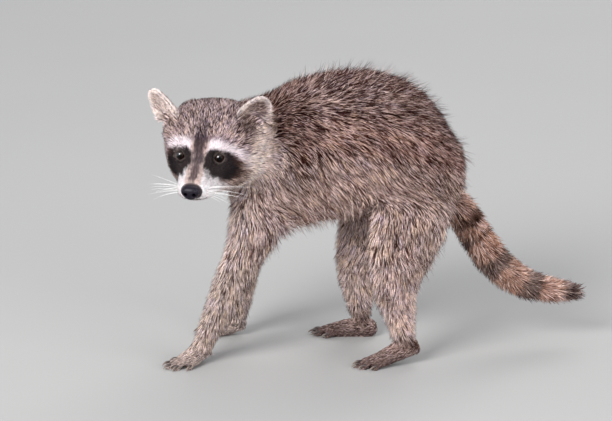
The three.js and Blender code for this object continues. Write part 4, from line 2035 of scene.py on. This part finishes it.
@dataclass(frozen=True)
class NoseFinish(Finish):
    """The moist, finely pebbled skin of the nose pad."""

    name: str = "nose_skin"

    def sockets(self, graph: Graph) -> Sockets:
        """Adds the nodes and returns the shader's inputs."""
        place = graph.add("ShaderNodeTexCoord", output="Object")
        pebbles = graph.add("ShaderNodeTexVoronoi", inputs={"Vector": place, "Scale": 1300})
        mottle = graph.noise(420, 2)
        colour = graph.mix(mottle, shade(13, 9, 16), shade(30, 23, 36))
        return {
            "Base Color": graph.mix(pebbles.ramp(0.5, 0.9) * 0.6, colour, shade(8, 6, 9)),
            "Roughness": mottle * 0.2 + 0.28,
            "Specular IOR Level": 0.12,
            "Coat Weight": 0.12,
            "Coat Roughness": 0.25,
            "Normal": graph.bump(1 - pebbles, 0.00025, 0.7),
        }


@dataclass(frozen=True)
class HornFinish(Finish):
    """Claws and whiskers: smooth horn that grows paler towards the tip."""

    root: Colour
    tip: Colour
    roughness: float = 0.3

    def sockets(self, graph: Graph) -> Sockets:
        """Adds the nodes and returns the shader's inputs."""
        along = graph.attribute("along")
        streaks = graph.noise(1500, 2)
        colour = graph.mix(along.ramp(0.1, 0.95), self.root, self.tip)
        return {
            "Base Color": graph.tinted(colour, streaks * 0.5 + 0.75),
            "Roughness": streaks * 0.2 + self.roughness,
            "Normal": graph.bump(streaks, 0.0002, 0.5),
        }


@dataclass(frozen=True)
class FloorFinish(Finish):
    """A pale matt studio floor."""

    name: str = "studio_floor"

    def sockets(self, graph: Graph) -> Sockets:
        """Adds the nodes and returns the shader's inputs."""
        cloud = graph.noise(1.6, 3)
        return {
            "Base Color": graph.mix(cloud, shade(152, 151, 149), shade(160, 159, 158)),
            "Roughness": cloud * 0.1 + 0.75,
        }


# ---- eyes, nose, claws and whiskers


@dataclass
class Eyeball:
    """One eyeball with its bulging cornea."""

    seat: EyeSeat
    name: str
    around: int = 40
    rings: int = 30
    size: float = 0.955
    bulge: float = 0.05

    def build(self) -> Piece:
        """Makes the eyeball.

        Returns:
            The eyeball.
        """
        polar = np.linspace(0, math.pi, self.rings + 1)[1:-1]
        turn = np.linspace(0, 2 * math.pi, self.around, endpoint=False)
        radius = self.seat.radius * (self.size + self.bulge * smooth(0.75, 0.35, polar))
        forward = radius * np.cos(polar)
        out = radius * np.sin(polar)
        seat = self.seat
        circle = np.cos(turn)[:, None] * seat.side + np.sin(turn)[:, None] * seat.up
        rings = forward[:, None, None] * seat.look + out[:, None, None] * circle
        front = seat.look * seat.radius * (self.size + self.bulge)
        poles = np.array([front, -seat.look * seat.radius * self.size])
        points = np.concatenate([rings.reshape(-1, 3), poles]) + seat.middle
        count = self.around
        faces = []
        for k in range(len(polar) - 1):
            for j in range(count):
                a, b = k * count + j, k * count + (j + 1) % count
                faces += [(a, a + count, b + count), (a, b + count, b)]
        last = len(points) - 2
        base = (len(polar) - 1) * count
        for j in range(count):
            following = (j + 1) % count
            faces += [(last, j, following), (last + 1, base + following, base + j)]
        faces = np.array(faces)
        corners = points[faces] - seat.middle
        if dot(corners[:, 0], np.cross(corners[:, 1], corners[:, 2])).sum() < 0:
            faces = faces[:, ::-1]
        piece = mesh_piece(self.name, points, faces)
        piece.data.materials.append(EyeFinish(f"{self.name}_surface", seat).material())
        return piece


@dataclass
class NosePad:
    """The nose pad with its two nostrils and the groove between them."""

    head: HeadFrame
    half: tuple[float, float, float] = (7.6, 10.2, 7.8)
    pitch: float = 0.42

    def build(self) -> Piece:
        """Makes the nose pad.

        Returns:
            The nose pad.
        """
        middle, half = np.array(self.head.pad), np.array(self.half)
        volume = Volume.around(middle - half - 3, middle + half + 3, self.pitch)
        slices, places = volume.block(middle, 30)
        forward, left, up = (places - middle).T
        narrow = 1 - 0.42 * smooth(0.5, -8, up)
        shape = np.stack([forward / half[0], left / (half[1] * narrow), up / half[2]], axis=1)
        size = (np.abs(shape) ** 2.5).sum(axis=1) ** (1 / 2.5)
        values = (size - 1) * 7
        for side in SIDES.values():
            mouth, inner, slit = (
                middle + np.array(p) * np.array([1, side, 1])
                for p in ((7.4, 4.3, -0.6), (1, 5.6, 0.6), (5.6, 9.8, -3.6))
            )
            values = grooved(values, places, [mouth, inner], 2.15)
            values = grooved(values, places, [mouth, slit], 0.85)
            wing = middle + np.array([4.6, side * 6.6, 0.8])
            values = np.minimum(values, capsule(places, wing, wing + np.array([0.5, side * 0.5, 2.2]), 2.4))
            values = grooved(values, places, [mouth, inner], 1.9)
        middle_line = [middle + np.array(p) for p in ((8.2, 0, 1), (7.2, 0, -4.5), (4.5, 0, -9))]
        values = grooved(values, places, middle_line, 0.75)
        volume.values[slices] = values.reshape(volume.values[slices].shape)
        volume.values = volume.blurred(1)
        points, quads = volume.surface()
        piece = mesh_piece("nose_pad", self.head.outside(points), quads)
        piece.data.materials.append(NoseFinish().material())
        return piece


@dataclass
class StrandTree:
    """The Geometry Nodes tree that turns lines with a thickness into closed, tapered strands."""

    tree: GeometryTree = field(init=False)

    def __post_init__(self) -> None:
        """Builds the tree."""
        kinds = {"Lines": "Geometry", "Corners": "Int", "Finish": "Material"}
        tree = self.tree = GeometryTree("strands", kinds)
        lines, corners, finish = tree.given
        curves = tree.add("GeometryNodeMeshToCurve", inputs={"Mesh": lines})
        circle = {"Resolution": corners, "Radius": 1}
        profile = tree.add("GeometryNodeCurvePrimitiveCircle", inputs=circle)
        tubes = tree.add(
            "GeometryNodeCurveToMesh",
            inputs={
                "Curve": curves,
                "Profile Curve": profile,
                "Scale": tree.named("thickness", "FLOAT"),
                "Fill Caps": True,
            },
        )
        tree.end(tree.add("GeometryNodeRealizeInstances", inputs={"Geometry": tubes}), finish)

    def spin(
        self, name: str, lines: Sequence[Array], thickness: Array, corners: int, finish: bpy.types.Material
    ) -> Piece:
        """Makes strands along lines.

        Args:
            name: the piece's name.
            lines: the points of each line, the same number on each.
            thickness: the radius at each point of a line.
            corners: how many corners the section has.
            finish: the material.

        Returns:
            The piece, as a plain mesh.
        """
        knots = len(lines[0])
        points = np.concatenate(lines)
        source = mesh_piece(name, points, np.zeros((0, 3), int))
        firsts = (np.arange(len(lines))[:, None] * knots + np.arange(knots - 1)).ravel()
        edges = np.stack([firsts, firsts + 1], axis=1)
        source.data.edges.add(len(edges))
        source.data.edges.foreach_set("vertices", edges.astype(np.int32).ravel())
        set_attribute(source.data, "thickness", "FLOAT", np.tile(thickness, len(lines)) * MM)
        set_attribute(source.data, "along", "FLOAT", np.tile(np.linspace(0, 1, knots), len(lines)))
        return self.tree.made(source, {"Corners": corners, "Finish": finish})


def arc(start: Array, heading: Array, drop: Array, length: float, knots: int) -> Array:
    """Returns points along a line that leaves in one direction and bends by drop at its end."""
    t = np.linspace(0, 1, knots)[:, None]
    return start + heading * length * t + drop * t * t


@dataclass
class Whiskers:
    """Long pale whiskers on the muzzle."""

    skin: Skin
    rows: int = 3
    in_row: int = 4
    length: float = 50
    knots: int = 9

    def lines(self) -> list[Array]:
        """Lays out the whiskers.

        Returns:
            The line of each whisker.
        """
        rng = np.random.default_rng(3)
        head = self.skin.anatomy.head
        made = []
        for side in SIDES.values():
            for row in range(self.rows):
                for k in range(self.in_row):
                    root = np.array([44 - 3.6 * k, side * (13 + 1.1 * k), -19 - 2.9 * row - 0.6 * k])
                    heading = np.array([0.12 - 0.17 * k, side, 0.10 - 0.12 * row])
                    heading = heading + rng.normal(0, 0.05, 3)
                    reach = self.length * (0.5 + 0.13 * k) * rng.uniform(0.85, 1.05)
                    made.append(self.line(head.outside(root), head.direction(unit(heading)), reach, rng))
        return made

    def line(self, root: Array, heading: Array, reach: float, rng: np.random.Generator) -> Array:
        """Lays out one whisker.

        Args:
            root: where it starts.
            heading: its direction there.
            reach: its length.
            rng: the random numbers.

        Returns:
            The points of a drooping line that starts in the skin.
        """
        for _ in range(4):
            depth = float(self.skin.distance.at(root[None])[0])
            root = root - self.skin.distance.slope(root[None])[0] * (depth + 1)
        drop = np.array([0, 0, -0.16]) * reach + rng.normal(0, 0.05, 3) * reach
        return arc(root, heading, drop, reach, self.knots)

    def build(self, tree: StrandTree) -> Piece:
        """Makes the whiskers."""
        finish = HornFinish("whisker", shade(236, 232, 230), shade(250, 249, 248)).material()
        thickness = 0.17 * (1 - np.linspace(0, 0.94, self.knots) ** 1.2)
        return tree.spin("whiskers", self.lines(), thickness, 5, finish)


@dataclass(frozen=True)
class PawPlan:
    """Where a paw stands, which way it points and where its claws are."""

    place: tuple[float, float]
    turn: float
    hind: bool

    def claws(self) -> list[Array]:
        """Lays out the claws.

        Returns:
            The line of each claw, from inside the toe to its tip.
        """
        root_forward, spread, fan = (32, 10.6, 30) if self.hind else (20, 10.2, 44)
        reaches = (12, 17, 19, 17.5, 13) if self.hind else (14, 20, 22.5, 20.5, 14.5)
        length = 7.5 if self.hind else 6.5
        turn = math.radians(self.turn)
        made = []
        for k, reach in enumerate(reaches):
            across = k / 2 - 1
            angle = math.radians(across * fan / 2)
            root = np.array([-root_forward + 8 * across**2, across * spread])
            ahead = np.array([-math.cos(angle), math.sin(angle)])
            beyond = np.array([-2.5, 0, 0.3 * length, 0.6 * length, 0.85 * length, length])
            height = np.array([4.6, 4.7, 4.5, 3.7, 2.5, 1.1])
            flat = root + ahead * (reach + beyond)[:, None]
            x = math.cos(turn) * flat[:, 0] - math.sin(turn) * flat[:, 1] + self.place[0]
            y = math.sin(turn) * flat[:, 0] + math.cos(turn) * flat[:, 1] + self.place[1]
            made.append(np.stack([x, y, height], axis=1))
        return made


PAW_PLANS: dict[str, PawPlan] = {
    "paw_front_left": PawPlan((-189, -13.66), 32, False),
    "paw_front_right": PawPlan((-153, 79.34), -6, False),
    "paw_hind_left": PawPlan((29, -17.66), 16, True),
    "paw_hind_right": PawPlan((-16, 76.34), -6, True),
}


@dataclass
class Claws:
    """The twenty claws."""

    thickness: tuple[float, ...] = (1.25, 1.45, 1.35, 1.05, 0.6, 0.12)

    def build(self, tree: StrandTree) -> Piece:
        """Makes the claws."""
        finish = HornFinish("claw_horn", shade(52, 42, 40), shade(120, 104, 94)).material()
        lines = [line for plan in PAW_PLANS.values() for line in plan.claws()]
        return tree.spin("claws", lines, np.array(self.thickness), 8, finish)


# ---- studio


@dataclass
class Studio:
    """The floor, the lights and the camera."""

    look_down: float = 17
    distance: float = 4000
    aim: tuple[float, float, float] = (-76.4, 78.4, 144.3)
    lens: float = 213.9
    floor_size: float = 40

    def build(self) -> None:
        """Makes the studio."""
        self.floor()
        self.camera()
        self.light("key_light", (-2, -2.6, 2.3), 1.75, 202)
        self.light("fill_light", (3, -2.4, 0.8), 2.6, 132)
        self.light("back_light", (0.9, 2.2, 2.4), 1.8, 40)
        world = bpy.data.worlds.new("studio_air")
        world.use_nodes = True
        world.node_tree.nodes["Background"].inputs["Color"].default_value = (0.93, 0.95, 1, 1)
        world.node_tree.nodes["Background"].inputs["Strength"].default_value = 0.75
        bpy.context.scene.world = world
        bpy.context.scene.view_settings.view_transform = "Standard"

    def floor(self) -> None:
        """Makes the floor."""
        half = self.floor_size / 2 / MM
        corners = np.array([(-half, -half, 0), (half, -half, 0), (half, half, 0), (-half, half, 0)])
        piece = mesh_piece("floor", corners, np.array([[0, 1, 2, 3]]))
        piece.data.materials.append(FloorFinish().material())

    def camera(self) -> None:
        """Makes the camera, which looks across the animal's left side from a little above."""
        data = bpy.data.cameras.new("camera")
        data.lens = self.lens
        data.sensor_width = 36
        data.clip_end = 100
        camera = bpy.data.objects.new("camera", data)
        down = math.radians(self.look_down)
        back = np.array([0, -math.cos(down), math.sin(down)]) * self.distance
        camera.location = (np.array(self.aim) + back) * MM
        camera.rotation_euler = (math.radians(90 - self.look_down), 0, 0)
        bpy.context.scene.collection.objects.link(camera)
        bpy.context.scene.camera = camera

    def light(self, name: str, place: tuple[float, float, float], size: float, power: float) -> None:
        """Makes one soft square light that faces the animal.

        Args:
            name: its name.
            place: where it stands, in metres.
            size: its side, in metres.
            power: its power, in watts.
        """
        data = bpy.data.lights.new(name, "AREA")
        data.size = size
        data.energy = power
        lamp = bpy.data.objects.new(name, data)
        lamp.location = place
        ray = np.array(place) - np.array([0, 0, 0.15])
        flat = math.hypot(ray[0], ray[1])
        lamp.rotation_euler = (math.atan2(flat, ray[2]), 0, math.atan2(ray[1], ray[0]) + math.pi / 2)
        bpy.context.scene.collection.objects.link(lamp)


def main() -> None:
    """Builds the animal and the studio around it."""
    logging.basicConfig(level=logging.INFO, format="%(relativeCreated)6d ms  %(message)s")
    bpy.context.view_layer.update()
    Studio().build()
    anatomy = Anatomy()
    markings = Markings(anatomy)
    skin = Skin(anatomy, markings)
    hand_over(skin.build(), "coat", *FLESH)
    for name, seat in anatomy.eyes.items():
        hand_over(Eyeball(seat, f"eyeball_{name}").build(), "eyes", f"eye_{name}")
    hand_over(NosePad(anatomy.head).build(), "nose", "nose")
    strands = StrandTree()
    hand_over(Whiskers(skin).build(strands), "face")
    hand_over(Claws().build(strands), "paws", *PAWS)
    for piece, slot, nodes in Coat(skin).build():
        hand_over(piece, slot, *nodes)


if __name__ == "__main__":
    main()
